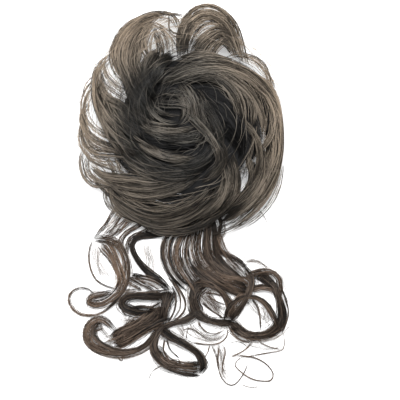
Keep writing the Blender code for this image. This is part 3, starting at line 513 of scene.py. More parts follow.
def tail_locks():
    """A tail's locks: half width, lowest and highest lift, fullness, tone (partly painted shade and light),
    route.
    """
    return {
        "tail_left": (
            (6.0, 3, 6, 0.11, 0.10, ((-40, -70), (-52, -88), (-62, -101), (-71, -112), (-80, -120))),
            (4.5, 3, 6, 0.13, 0.10, ((-50, -74), (-60, -88), (-68, -100), (-76, -110), (-86, -119))),
            (2.4, 3, 6, 0.26, 0.00, ((-34, -72), (-46, -92), (-57, -104), (-68, -113), (-78, -119))),
            (1.8, 3, 6, 0.50, 0.00, ((-21, -40), (-46, -70), (-60, -82), (-65, -89), (-71, -98),
                (-77, -108), (-84, -116), (-90, -122))),
            (1.6, 3, 6, 0.60, 0.05, ((-31, -72), (-42, -92), (-52, -105), (-62, -113), (-72, -119),
                (-83, -123))),
            (1.2, 3, 6, 0.45, -0.05, ((-49, -82), (-59, -96), (-67, -108), (-74, -118))),
            (2.6, 3, 6, 0.60, 0.05, ((-21, -82), (-30, -95), (-42, -107), (-54, -114), (-61, -122),
                (-61, -131), (-55, -141))),
            (1.5, 3, 6, 0.70, 0.05, ((-13, -92), (-21, -102), (-35, -112), (-46, -116), (-53, -121),
                (-55, -129), (-53, -138))),
            (2.4, 3, 6, 0.24, 0.10, ((-41, -82), (-51, -98), (-60, -110), (-67, -118))),
            (4.0, 3, 7, 0.80, 0.12, ((-89, -121), (-76, -122), (-66, -125), (-60, -133), (-56, -144),
                (-56, -157), (-60, -169), (-67, -178), (-75, -184), (-84, -187), (-91, -186), (-93, -182),
                (-88, -178), (-78, -177), (-68, -174))),
            (1.2, 4, 8, 1.00, -0.20, ((-73, -122), (-64, -125), (-57, -132), (-53, -143), (-52, -156),
                (-55, -168), (-62, -179), (-70, -188), (-79, -194))),
            (6.0, 2, 6, 0.45, 0.30, ((-81, -124), (-75, -130), (-69, -139), (-64, -149), (-61, -159),
                (-61, -168), (-66, -176))),
            (3.0, 2, 6, 0.60, 0.30, ((-77, -125), (-71, -132), (-66, -142), (-62, -153), (-59, -164),
                (-62, -172))),
            (0.8, 3, 5, 0.90, -0.20, ((-80, -131), (-73, -138), (-68, -146), (-63, -157), (-62, -166))),
            (0.8, 2, 4, 0.90, -0.10, ((-89, -122), (-92, -130), (-93, -140), (-91, -152), (-86, -162),
                (-79, -167), (-71, -170), (-63, -172))),
            (1.2, 2, 5, 0.90, 0.10, ((-56, -167), (-64, -180), (-71, -188), (-78, -194), (-86, -197),
                (-95, -198), (-103, -196), (-110, -190), (-113, -182), (-111, -175), (-105, -171),
                (-97, -170), (-91, -173), (-86, -179))),
            (2.0, 4, 7, 0.80, 0.05, ((-59, -172), (-69, -180), (-77, -185), (-85, -188), (-92, -187),
                (-95, -183), (-91, -179), (-83, -177), (-74, -175), (-66, -172))),
        ),
        "tail_middle": (
            (3.2, 3, 6, 1.00, -0.30, ((5, -82), (7, -104), (-4, -111), (-16, -115), (-29, -117),
                (-41, -118), (-48, -122), (-50, -129), (-46, -139), (-40, -148), (-33, -155), (-24, -161),
                (-16, -167), (-10, -173))),
            (4.6, 3, 8, 1.00, -0.25, ((-9, -174), (-16, -177), (-26, -178), (-36, -178), (-48, -178),
                (-56, -180), (-60, -185), (-58, -190), (-51, -193), (-43, -195), (-34, -194), (-27, -192))),
            (1.3, 6, 9, 1.00, -0.20, ((-52, -191), (-43, -189), (-34, -189), (-28, -191), (-25, -196))),
            (5.5, 4, 8, 1.00, -0.28, ((-12, -173), (-14, -182), (-16, -190), (-18, -198), (-21, -205))),
            (7.0, 3, 8, 1.00, -0.08, ((-18, -188), (-26, -195), (-34, -201), (-44, -207), (-54, -212),
                (-64, -217), (-72, -220))),
            (5.0, 3, 6, 0.25, 0.05, ((-46, -209), (-58, -216), (-69, -222), (-79, -225))),
            (5.0, 2, 6, 0.90, -0.10, ((-44, -204), (-54, -210), (-60, -217), (-60, -224), (-55, -228))),
            (4.5, 2, 5, 0.50, 0.20, ((-79, -208), (-90, -212), (-93, -220), (-88, -228), (-76, -233),
                (-62, -235))),
            (6.0, 2, 6, 1.00, 0.02, ((-19, -200), (-31, -207), (-43, -215), (-53, -221), (-61, -225),
                (-69, -226))),
            (1.5, 6, 9, 1.00, -0.25, ((-11, -201), (-21, -203), (-31, -209), (-39, -213), (-47, -219),
                (-53, -225))),
            (2.6, 3, 7, 0.80, 0.05, ((-50, -157), (-41, -159), (-31, -161), (-21, -166), (-13, -173))),
            (2.0, 4, 7, 0.90, -0.15, ((-54, -160), (-44, -165), (-34, -170), (-27, -174))),
            (1.4, 3, 6, 0.60, 0.00, ((-56, -164), (-48, -168), (-40, -173))),
            (1.0, 5, 8, 0.80, -0.10, ((-48, -160), (-38, -164), (-28, -168), (-21, -173))),
            (1.2, 3, 6, 0.50, 0.05, ((-62, -175), (-54, -172), (-45, -173))),
            (3.6, 2, 6, 0.80, 0.18, ((-67, -213), (-74, -205), (-81, -201), (-89, -203), (-95, -210),
                (-96, -218), (-93, -225), (-85, -231), (-73, -235), (-60, -237), (-48, -235), (-38, -230),
                (-30, -222), (-25, -214), (-19, -206))),
            (2.6, 4, 8, 1.00, -0.04, ((-81, -202), (-88, -208), (-89, -216), (-84, -223), (-77, -228),
                (-68, -232), (-57, -234), (-45, -232), (-35, -226), (-29, -218), (-24, -210))),
            (1.6, 2, 5, 0.60, 0.12, ((-87, -202), (-96, -211), (-98, -220), (-94, -228), (-84, -234),
                (-71, -238), (-59, -240), (-47, -238))),
            (3.5, 3, 7, 1.00, -0.20, ((-16, -204), (-23, -213), (-27, -223), (-26, -232), (-21, -240),
                (-13, -246), (-3, -251))),
            (6.5, 3, 7, 0.90, 0.00, ((-27, -226), (-26, -234), (-19, -243), (-9, -248), (2, -250),
                (12, -251), (21, -251))),
            (1.8, 3, 5, 1.00, -0.15, ((-30, -224), (-30, -232), (-26, -241), (-18, -249), (-7, -254),
                (6, -257), (20, -258))),
            (3.0, 4, 8, 0.90, 0.05, ((-13, -245), (-1, -247), (10, -247), (19, -247))),
            (4.6, 3, 8, 1.00, -0.24, ((-23, -210), (-14, -217), (-3, -223), (7, -229), (15, -235),
                (20, -243), (21, -251), (19, -257))),
            (0.7, 3, 6, 1.00, -0.10, ((-24, -220), (-24, -229), (-20, -238))),
            (0.7, 3, 6, 1.00, -0.10, ((-17, -222), (-18, -233), (-13, -242))),
            (0.6, 3, 6, 0.90, -0.10, ((-15, -221), (-11, -232), (-2, -241))),
        ),
        "tail_right": (
            (1.7, 3, 6, 1.00, -0.20, ((1, -82), (5, -104), (-5, -113), (-15, -119), (-19, -129),
                (-19, -140), (-15, -151), (-9, -160), (-1, -168), (7, -174))),
            (1.7, 4, 7, 1.00, -0.20, ((3, -82), (9, -104), (1, -112), (-8, -119), (-12, -129), (-12, -140),
                (-9, -150), (-3, -159), (5, -166), (14, -172))),
            (4.0, 2, 5, 0.35, 0.05, ((-1, -104), (-11, -116), (-15, -128), (-15, -140), (-11, -152),
                (-4, -162), (3, -170))),
            (0.9, 3, 6, 1.00, -0.10, ((-13, -160), (-6, -167), (0, -175), (4, -184), (3, -193), (-4, -201),
                (-12, -207))),
            (0.8, 3, 6, 1.00, -0.05, ((-10, -168), (-6, -178), (-6, -189), (-10, -199), (-15, -206))),
            (0.7, 3, 6, 0.80, 0.00, ((-10, -164), (-4, -173), (-1, -182), (-2, -192), (-9, -202))),
            (4.5, 3, 7, 0.90, 0.08, ((5, -87), (7, -106), (-1, -120), (-5, -132), (-4, -144), (1, -155),
                (9, -165), (15, -176), (17, -186))),
            (3.0, 4, 7, 0.90, -0.10, ((7, -82), (12, -104), (7, -120), (4, -134), (6, -146), (12, -157),
                (20, -166))),
            (3.0, 3, 6, 0.80, 0.00, ((9, -82), (15, -104), (11, -122), (10, -134), (14, -146), (20, -156),
                (28, -164))),
            (4.0, 4, 8, 0.90, -0.05, ((12, -82), (19, -104), (16, -122), (16, -135), (21, -146), (29, -154),
                (39, -161), (50, -167), (61, -172))),
            (4.5, 4, 8, 1.00, -0.15, ((15, -82), (25, -104), (25, -122), (26, -135), (32, -145), (41, -153),
                (52, -159), (62, -167), (69, -175))),
            (3.5, 4, 8, 1.00, -0.15, ((17, -82), (31, -104), (33, -120), (34, -132), (38, -141), (45, -149),
                (54, -156), (64, -164))),
            (2.0, 3, 7, 1.00, -0.08, ((19, -82), (39, -102), (37, -117), (36, -128), (41, -135), (50, -139),
                (58, -143), (64, -149), (69, -157))),
            (4.0, 2, 5, 0.35, 0.10, ((29, -97), (38, -122), (43, -134), (51, -144), (59, -152),
                (66, -162))),
            (1.5, 2, 4, 0.35, 0.15, ((39, -97), (43, -112), (39, -122), (38, -132))),
            (3.5, 4, 7, 1.00, -0.20, ((8, -146), (20, -158), (34, -166), (48, -172), (60, -178),
                (68, -186))),
            (3.0, 5, 8, 0.90, 0.00, ((12, -142), (26, -156), (40, -166), (54, -172), (66, -172), (80, -168),
                (92, -170))),
            (5.5, 5, 9, 0.90, 0.02, ((22, -148), (33, -157), (45, -164), (57, -169), (68, -174))),
            (3.5, 6, 9, 0.80, 0.10, ((31, -153), (42, -158), (54, -160), (64, -162), (70, -168))),
            (3.6, 5, 9, 1.00, -0.10, ((64, -150), (70, -159), (70, -167), (68, -174), (64, -182),
                (59, -190), (54, -197), (48, -204))),
            (2.8, 3, 6, 0.80, 0.08, ((69, -170), (60, -178), (54, -185), (51, -193), (50, -202))),
            (3.6, 3, 7, 0.90, 0.06, ((66, -159), (73, -156), (82, -154), (91, -155), (97, -161), (99, -170),
                (100, -178))),
            (5.2, 3, 8, 1.00, -0.20, ((72, -157), (81, -158), (93, -169), (97, -179), (100, -189),
                (101, -199), (98, -209), (92, -216))),
            (0.8, 2, 4, 0.90, 0.00, ((99, -168), (104, -180), (107, -193), (105, -205), (100, -216))),
            (3.0, 5, 8, 0.80, 0.05, ((68, -172), (77, -170), (86, -170), (94, -173), (99, -180))),
            (2.8, 6, 9, 1.00, 0.10, ((44, -204), (46, -193), (52, -185), (60, -180), (69, -179), (78, -181),
                (86, -188), (92, -198), (96, -210))),
            (5.6, 2, 7, 1.00, -0.04, ((102, -200), (96, -210), (87, -216), (76, -218), (66, -217),
                (58, -213), (51, -207), (46, -201))),
            (3.0, 5, 8, 1.00, -0.15, ((81, -220), (69, -220), (59, -216), (52, -210))),
            (0.9, 5, 8, 1.00, -0.20, ((70, -181), (76, -189), (78, -196), (79, -204), (79, -212))),
            (1.0, 1, 3, 0.60, 0.12, ((46, -209), (52, -217), (60, -223), (71, -225))),
            (6.6, 3, 8, 1.00, -0.25, ((25, -166), (17, -169), (13, -175), (12, -183), (14, -191),
                (19, -198))),
            (4.3, 4, 8, 1.00, -0.06, ((8, -172), (17, -166), (27, -166), (35, -170), (42, -176), (47, -184),
                (50, -193), (50, -203))),
            (4.7, 3, 7, 1.00, -0.25, ((9, -187), (15, -195), (24, -201), (34, -204), (44, -205),
                (52, -203))),
            (0.8, 3, 5, 0.70, 0.00, ((47, -183), (45, -192), (42, -200))),
            (0.8, 2, 4, 1.00, -0.10, ((21, -185), (28, -191), (35, -196), (42, -201))),
            (0.7, 2, 4, 1.00, -0.15, ((24, -175), (32, -176), (41, -178))),
            (0.5, 2, 4, 0.80, 0.00, ((26, -178), (34, -183), (44, -187))),
            (3.6, 3, 6, 1.00, -0.30, ((17, -193), (10, -199), (2, -203), (-6, -205), (-15, -208),
                (-23, -212))),
        ),
    }


def wisp_routes():
    """The fine loose hairs: how many, how far apart, lowest and highest lift, and their route."""
    return (
        (10, 0.8, 2, 3, ((9, -224), (19, -226), (29, -227), (37, -226), (43, -222), (46, -216),
            (45, -209))),
        (10, 0.8, 1, 3, ((15, -202), (19, -209), (25, -214), (33, -216), (40, -214), (45, -209))),
        (6, 0.7, 1, 3, ((0, -213), (8, -211), (15, -214), (22, -219), (29, -223))),
        (4, 0.5, 1, 3, ((7, -210), (5, -217), (6, -223))),
        (24, 5.0, 1, 3, ((11, -202), (18, -213), (27, -220), (37, -220), (44, -213))),
        (9, 0.6, 1, 3, ((29, -228), (26, -235), (22, -242))),
        (4, 0.5, 1, 2, ((23, -240), (27, -246), (26, -251), (22, -253))),
        (12, 0.6, 1, 3, ((38, -226), (37, -237), (37, -248), (39, -258), (44, -265), (50, -268), (56, -265),
            (62, -257), (66, -248), (67, -239))),
        (8, 0.7, 1, 3, ((41, -226), (44, -234), (42, -244), (41, -254), (44, -262))),
        (5, 1.0, 1, 3, ((31, -228), (35, -240), (37, -252))),
        (19, 4.0, 1, 3, ((36, -228), (40, -238), (41, -250), (46, -260))),
        (12, 0.8, 1, 3, ((72, -224), (65, -231), (57, -236), (47, -240))),
        (12, 0.7, 1, 3, ((48, -239), (56, -238), (64, -239), (72, -240), (81, -244), (88, -250), (92, -257),
            (90, -263), (85, -264), (75, -263), (67, -260), (60, -255), (54, -249), (55, -244), (61, -240),
            (68, -239))),
        (9, 0.7, 1, 3, ((66, -239), (77, -237), (89, -235), (100, -233), (103, -229), (103, -220),
            (101, -212))),
        (8, 0.7, 1, 3, ((76, -223), (84, -228), (94, -231), (102, -232))),
        (4, 0.4, 1, 3, ((48, -226), (55, -224), (62, -226), (67, -231))),
        (3, 0.4, 1, 2, ((59, -267), (69, -270), (81, -269))),
        (6, 0.8, 1, 3, ((64, -144), (75, -143), (83, -147), (89, -153))),
        (2, 0.4, 2, 9, ((60, -74), (74, -88), (83, -99), (87, -109), (88, -117))),
        (6, 0.6, 1, 4, ((-16, -248), (-23, -250), (-29, -254), (-32, -260), (-31, -266))),
        (29, 4.5, 1, 4, ((-33, -158), (-31, -144), (-35, -130), (-31, -120))),
        (19, 4.0, 1, 4, ((-83, -128), (-85, -140), (-83, -152), (-77, -162))),
        (19, 4.0, 1, 4, ((-61, -198), (-55, -204), (-49, -200))),
        (14, 3.0, 1, 4, ((-84, -204), (-81, -212), (-73, -220))),
        (5, 0.8, 1, 3, ((-64, -240), (-60, -243), (-59, -239))),
        (29, 5.0, 1, 4, ((41, -144), (49, -150), (57, -154))),
        (60, 5.0, 1, 3, ((22, -174), (31, -184), (41, -195))),
        (19, 4.0, 1, 3, ((81, -186), (85, -194), (85, -204))),
        (19, 3.0, 1, 3, ((-3, -208), (1, -214), (-1, -220))),
        (8, 0.4, 14, 18, ((-17, 105), (-10, 103), (-3, 102), (3, 100))),
        (10, 0.7, 12, 16, ((-13, 103), (-12.5, 92), (-12, 86), (-8, 82), (0, 81))),
        (5, 0.8, 8, 12, ((-88, 42), (-95, 35), (-98, 26), (-96, 18))),
        (30, 7.0, 1, 3, ((12, -168), (22, -180), (36, -190), (50, -198))),
        (24, 5.0, 1, 3, ((14, -192), (20, -178), (32, -172), (44, -178), (48, -190))),
        (20, 7.0, 1, 3, ((62, -178), (72, -190), (84, -204), (92, -214))),
        (16, 5.0, 1, 3, ((4, -206), (12, -214), (24, -220), (36, -219), (46, -210))),
        (10, 4.0, 1, 3, ((-10, -206), (-2, -216), (10, -223), (22, -226))),
        (16, 4.0, 1, 3, ((34, -224), (37, -238), (39, -252), (46, -264), (56, -266))),
        (12, 5.0, 1, 3, ((46, -214), (60, -222), (76, -228), (92, -230), (104, -222))),
        (14, 6.0, 1, 3, ((54, -140), (66, -142), (80, -146), (94, -152))),
        (12, 5.0, 1, 4, ((40, -124), (48, -136), (58, -146), (66, -156))),
        (14, 5.0, 1, 3, ((-14, -120), (-20, -136), (-16, -152), (-8, -166), (-4, -180), (-8, -196))),
        (14, 5.0, 1, 4, ((-86, -124), (-84, -138), (-78, -150), (-68, -162), (-62, -170))),
        (12, 6.0, 1, 4, ((-84, -206), (-78, -216), (-66, -222), (-54, -222))),
    )


def crown_height(x, y):
    """The height of the bun's hair over a place that is this far from the middle."""
    reach = np.hypot(x, y) / BUN_RADIUS
    shifts = (-CROWN_EASING, 0, CROWN_EASING)
    eased = [np.interp(reach + shift, CROWN_REACH, CROWN_HEIGHT) for shift in shifts]
    return BUN_DEPTH * sum(eased) / len(eased)


def crown_normal(x, y):
    """The way that the crown faces, with its steep sides eased."""
    near = 0.002
    slope_x = (crown_height(x + near, y) - crown_height(x - near, y)) / (2 * near)
    slope_y = (crown_height(x, y + near) - crown_height(x, y - near)) / (2 * near)
    steepness = np.maximum(1, np.hypot(slope_x, slope_y) / STEEPEST_SIDE)
    return unit(np.stack([-slope_x / steepness, -slope_y / steepness, np.ones_like(x)], axis=-1))


def raised_over_tails(x, y):
    """The lowest that the bun's hair hangs: near the floor, or over the tails."""
    angle = np.degrees(np.arctan2(y, x)) % 360
    start, end = TAIL_SECTOR
    rise = np.clip((angle - start) / TAIL_SECTOR_EDGE + 1, 0, 1)
    fall = np.clip((end - angle) / TAIL_SECTOR_EDGE + 1, 0, 1)
    return FLOOR_CLEARANCE + (TAIL_PASSAGE - FLOOR_CLEARANCE) * (rise * fall)


def unit(vectors):
    """The same vectors, each one long."""
    return vectors / np.maximum(np.linalg.norm(vectors, axis=-1, keepdims=True), 1e-12)


def smooth_route(rows, count):
    """A smooth curve through the rows, at count even places."""
    rows = np.array(rows, float)
    padded = np.concatenate([2 * rows[:1] - rows[1:2], rows, 2 * rows[-1:] - rows[-2:-1]])
    t = np.linspace(0, 1, 16, endpoint=False)[:, None]
    stretches = [
        0.5 * (2 * b + (c - a) * t + (2 * a - 5 * b + 4 * c - d) * t**2 + (3 * b - a - 3 * c + d) * t**3)
        for a, b, c, d in zip(padded, padded[1:], padded[2:], padded[3:])
    ]
    curve = np.concatenate([*stretches, rows[-1:]])
    along = np.concatenate([[0], np.cumsum(np.linalg.norm(np.diff(curve, axis=0), axis=1))])
    places = np.linspace(0, along[-1], count)
    return np.stack([np.interp(places, along, column) for column in curve.T], axis=1), along[-1]


class Route:
    """A lock's middle line with its own directions, half width and half thickness at even places."""

    PLACES = 72

    def __init__(self, points, normals, half_width, half_thickness):
        self.points = points
        ahead = unit(np.gradient(points, axis=0))
        self.side = unit(np.cross(normals, ahead))
        self.top = unit(np.cross(ahead, self.side))
        self.half_width = half_width
        self.half_thickness = half_thickness
        self.length = np.linalg.norm(np.diff(points, axis=0), axis=1).sum()


def tapered(t, start, end, length=BUN_EASE):
    """1 along the middle, easing to start and end at the ends."""
    rise = np.clip(t / length, 0, 1)
    fall = np.clip((1 - t) / length, 0, 1)
    rise = start + (1 - start) * rise * rise * (3 - 2 * rise)
    fall = end + (1 - end) * fall * fall * (3 - 2 * fall)
    return rise * fall


def bun_route(width, lift, rows):
    """A lock on the crown: it dips under its neighbours at both ends."""
    flat, _ = smooth_route(rows, Route.PLACES)
    least, share = BUN_THICKNESS
    x, y = (flat * STEP).T
    t = np.linspace(0, 1, Route.PLACES)
    arc = np.sin(np.pi * t) ** 0.7
    height = crown_height(x, y) + STEP * (lift * arc - END_DIP * (1 - arc))
    half_width = STEP * width * tapered(t, *BUN_END_WIDTHS)
    half_thickness = STEP * (least + share * width) * tapered(t, *BUN_END_THICKNESSES)
    height = np.maximum(height, raised_over_tails(x, y) + half_thickness)
    return Route(np.stack([x, y, height], axis=1), crown_normal(x, y), half_width, half_thickness)


def tail_route(width, low, high, rows, end_widths=TAIL_END_WIDTHS):
    """A lock that lies on the floor, in soft waves of height."""
    flat, length = smooth_route(rows, Route.PLACES * 2)
    least, share = TAIL_THICKNESS
    x, y = (flat * STEP).T
    t = np.linspace(0, 1, len(x))
    waves = max(1.0, length / TAIL_WAVE)
    swell = 1 + TAIL_SWELL * np.sin(2 * np.pi * waves * t + 1.0)
    height = STEP * (low + (high - low) * (0.5 - 0.5 * np.cos(2 * np.pi * waves * t)))
    half_width = STEP * width * tapered(t, *end_widths, TAIL_EASE) * swell
    half_thickness = STEP * (least + share * width) * tapered(t, *TAIL_END_THICKNESSES, TAIL_EASE)
    up = np.tile([0.0, 0.0, 1.0], (len(x), 1))
    return Route(np.stack([x, y, height], axis=1), up, half_width, half_thickness)


def strands_along(route, count, places, rng, free=FREE_SHARE, spread=1.0, wander=LOCK_WANDER, trim=BUN_TRIM):
    """The middle lines of strands that follow a route, the way to their tops, their clumps and depths."""
    clumps = max(3, round(count / CLUMP_SIZE))
    start = rng.uniform(0, trim, (count, 1))
    end = 1 - rng.uniform(0, trim * TIP_TRIM, (count, 1))
    t = start + (end - start) * np.linspace(0, 1, places)
    clump = rng.integers(0, clumps, count)
    is_free = rng.random(count) < free

    def settled(clump_at):
        """Where the strands lie across the lock: in their clumps, or anywhere if they are free."""
        anywhere = rng.uniform(-1, 1, count)
        in_clump = clump_at[clump] + rng.normal(0, CLUMP_SPREAD / clumps, count)
        return np.where(is_free, anywhere, in_clump)

    # Clumps stand side by side and slowly change places; free strands cross them.
    clump_from = np.linspace(-CLUMP_EDGE, CLUMP_EDGE, clumps) + rng.normal(0, CLUMP_UNEVENNESS, clumps)
    clump_to = clump_from + rng.normal(0, CLUMP_DRIFT, clumps)
    own_from = settled(clump_from)
    own_to = settled(clump_to)
    clump_depth = rng.uniform(*CLUMP_DEPTHS, clumps)
    free_depth = rng.uniform(*FREE_DEPTHS, count)
    depth = np.where(is_free, free_depth, clump_depth[clump] + rng.normal(0, DEPTH_CHANCE, count))
    clump_speed = rng.uniform(*CLUMP_WAVES, (2, clumps))
    clump_phase = rng.uniform(0, 1, (2, clumps))
    own_speed = rng.uniform(*STRAND_WAVES, (2, count, 1))
    own_phase = rng.uniform(0, 1, (2, count, 1))

    def wave(which):
        """A clump's wave and a smaller one of each strand's own."""
        turns = clump_speed[which][clump][:, None] * t + clump_phase[which][clump][:, None]
        shared = np.sin(2 * np.pi * turns)
        own = np.sin(2 * np.pi * (own_speed[which] * t + own_phase[which]))
        return wander * shared + 0.5 * wander * own

    across = own_from[:, None] * (1 - t) + own_to[:, None] * t
    across = np.clip(across, -LOCK_EDGE, LOCK_EDGE) * spread + wave(0)
    rise = depth[:, None] + wave(1) + LOCK_ARCH * (1 - across**2) - LOCK_ARCH / 2
    place = t * (len(route.points) - 1)
    low = np.clip(place.astype(int), 0, len(route.points) - 2)
    share = (place - low)[..., None]

    def at(values):
        """A route's values at the strands' places."""
        values = values if values.ndim == 2 else values[:, None]
        return values[low] * (1 - share) + values[low + 1] * share

    side, top = at(route.side), unit(at(route.top))
    lines = at(route.points) + side * at(route.half_width) * across[..., None]
    lines += top * at(route.half_thickness) * rise[..., None]
    return lines, top, clump, depth


class Hank:
    """Strands that become one mesh: a slim closed tube each, with its shade and tone in the UV map."""

    def __init__(self):
        self.corners, self.faces, self.caps, self.shades = [], [], [], []
        self.used = 0

    def add(self, lines, tops, radius, shade, tone):
        """Adds strands: lines and tops are strands by places by 3, and a strand has one radius."""
        count, places, _ = lines.shape
        radius = np.broadcast_to(radius, (count, 1))
        lines = lines.copy()
        lines[..., 2] = np.maximum(lines[..., 2], radius + FLOOR_CLEARANCE)
        ahead = unit(np.gradient(lines, axis=1))
        first = unit(np.cross(ahead, tops))
        second = np.cross(ahead, first)
        t = np.linspace(0, 1, places)
        slim = np.minimum(ROOT_THICKNESS + t * ROOT_SWELL, TIP_THICKNESS + (1 - t) * TIP_SWELL)
        thickness = radius * np.clip(slim, 0, 1)
        turns = 2 * np.pi * np.arange(STRAND_SIDES) / STRAND_SIDES
        ring = first[:, :, None] * np.cos(turns)[:, None] + second[:, :, None] * np.sin(turns)[:, None]
        corners = lines[:, :, None] + ring * thickness[:, :, None, None]
        number = self.used + np.arange(count * places * STRAND_SIDES).reshape(count, places, STRAND_SIDES)
        beside = np.roll(number, -1, axis=2)
        sides = np.stack([number[:, :-1], beside[:, :-1], beside[:, 1:], number[:, 1:]], axis=-1)
        self.faces.append(sides.reshape(-1, 4))
        self.caps += [number[:, 0, ::-1], number[:, -1]]
        self.corners.append(corners.reshape(-1, 3))
        u = np.clip(shade[..., None] + 0.004 * np.arange(STRAND_SIDES), 0.002, 0.998)
        v = np.clip(tone[..., None], 0.002, 0.998)
        self.shades.append(np.stack(np.broadcast_arrays(u, v), axis=-1).reshape(-1, 2))
        self.used += count * places * STRAND_SIDES

    def piece(self, name, material, slot, *nodes):
        """The mesh as a piece of the hairpiece."""
        corners = np.concatenate(self.corners) + MIDDLE
        sides, caps = np.concatenate(self.faces), np.concatenate(self.caps)
        order = np.concatenate([sides.ravel(), caps.ravel()])
        starts = np.concatenate([np.arange(len(sides)) * 4, len(sides) * 4 + np.arange(len(caps)) * 3])
        mesh = bpy.data.meshes.new(name)
        mesh.vertices.add(len(corners))
        mesh.vertices.foreach_set("co", corners.astype(np.float32).ravel())
        mesh.loops.add(len(order))
        mesh.loops.foreach_set("vertex_index", order.astype(np.int32))
        mesh.polygons.add(len(starts))
        mesh.polygons.foreach_set("loop_start", starts.astype(np.int32))
        mesh.update(calc_edges=True)
        mesh.validate()
        mesh.shade_smooth()
        layer = mesh.uv_layers.new(name="OFBake")
        layer.data.foreach_set("uv", np.concatenate(self.shades)[order].astype(np.float32).ravel())
        return place_piece(name, mesh, material, slot, *nodes)


def place_piece(name, mesh, material, slot, *nodes):
    """Puts a mesh into the scene as a piece that rides on the part."""
    mesh.materials.append(material)
    piece = bpy.data.objects.new(name, mesh)
    bpy.context.scene.collection.objects.link(piece)
    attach(piece, "root")
    if nodes:
        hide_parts(*nodes)
    return piece


def painted_light_tone_at(lines, offset):
    """How brown and light hair is painted by place: painted shade in the bun's middle, painted light at its
    rim.
    """
    reach = np.hypot(lines[..., 0], lines[..., 1]) / BUN_RADIUS
    part = np.clip((reach - TONE_START) / TONE_REACH, 0, 1)
    low = np.clip(-lines[..., 1] / BUN_RADIUS, 0, 1)
    rise = PAINTED_RIM_LIGHT - PAINTED_RIM_LIGHT_LOST_LOW * low
    return TONE_MIDDLE + rise * part * part * (3 - 2 * part) + TONE_BY_LOCK * offset


def lock_tones(lines, offset, tone):
    """The tones of a lock's strands: one tone all along a tail, or the bun's painted light and shade by
    place.
    """
    return painted_light_tone_at(lines, offset) if tone is None else np.full(lines.shape[:2], tone + offset)


def painted_hollow_shade_at(lines):
    """How much painted shade a place gets from its hollows: most in the middle of one, falling to 0 outside
    it.
    """
    deepest = np.zeros(lines.shape[:2])
    for across, along, reach, dark in PAINTED_HOLLOW_SHADES:
        far = np.hypot(lines[..., 0] / STEP - across, lines[..., 1] / STEP - along) / reach
        deepest = np.maximum(deepest, dark * np.exp(-far * far))
    return deepest


def lay_lock(hank, route, count, places, offset, rng, radius=STRAND_RADIUS, tone=None, stray=STRAY_SHARE,
             stray_spread=STRAY_SPREAD, **shape):
    """Adds one lock's strands to a hank, with strays beside it."""
    lines, tops, clump, depth = strands_along(route, count, places, rng, **shape)
    clumps = clump.max() + 1
    # A strand's depth in its lock darkens it as painted shade; its clump and chance give its own colour.
    shade = SHADE_MIDDLE + SHADE_BY_TONE * offset + PAINTED_SHADE_BY_DEPTH * depth
    shade = shade + rng.normal(0, SHADE_BY_CLUMP, clumps)[clump]
    shade = shade + rng.normal(0, SHADE_BY_CHANCE, count)
    # Gleams along each clump are painted highlights.
    gleam_at = rng.uniform(0, 1, (clumps, 1))[clump]
    gleam_speed = rng.uniform(*GLEAM_WAVES, (clumps, 1))[clump]
    gleam = np.sin(2 * np.pi * (gleam_speed * np.linspace(0, 1, places) + gleam_at))
    shade = np.clip(shade[:, None] + PAINTED_GLEAM * gleam, 0, 1)
    # Painted shade: ends that tuck under neighbours, and hollows unless the lock is a lit crest.
    tucked_shade = 1 - np.sin(np.pi * np.linspace(0.02, 0.98, places)) ** 0.5
    hollow_shade = painted_hollow_shade_at(lines) if offset < LIT else 0
    shade = shade * (1 - TUCKED_PAINTED_SHADE * tucked_shade) * (1 - hollow_shade)
    radii = radius * rng.uniform(*LOCK_RADII, (count, 1))
    hank.add(lines, tops, radii, shade, lock_tones(lines, offset, tone))
    strays = round(count * stray)
    if strays:
        lay_strays(hank, route, strays, places, offset, rng, radius, tone, stray_spread)


def lay_strays(hank, route, count, places, offset, rng, radius, tone, spread):
    """Adds the hairs that stray over a lock and beside it: most bright, as painted highlights, some dark."""
    lines, tops, _, _ = strands_along(
        route, count, places, rng, free=1, spread=spread, wander=STRAY_WANDER, trim=STRAY_TRIM
    )
    radii = radius * rng.uniform(*STRAY_RADII, (count, 1))
    is_highlight = rng.random((count, 1)) < HIGHLIGHT_SHARE
    bright = rng.uniform(*HIGHLIGHT_STRAYS, (count, 1))
    dark = rng.uniform(*DARK_STRAYS, (count, 1))
    # A stray in a hollow takes most of its painted shade.
    shade = np.where(is_highlight, bright, dark) * (1 - STRAY_PAINTED_SHADE * painted_hollow_shade_at(lines))
    hank.add(lines, tops, radii, shade, lock_tones(lines, offset, tone) + STRAY_TONE)


def finished_mesh(shell, name):
    """A bmesh made round the ring's middle, as a smooth mesh in its place."""
    bmesh.ops.translate(shell, vec=Vector(MIDDLE), verts=shell.verts)
    mesh = bpy.data.meshes.new(name)
    shell.to_mesh(mesh)
    shell.free()
    mesh.shade_smooth()
    return mesh


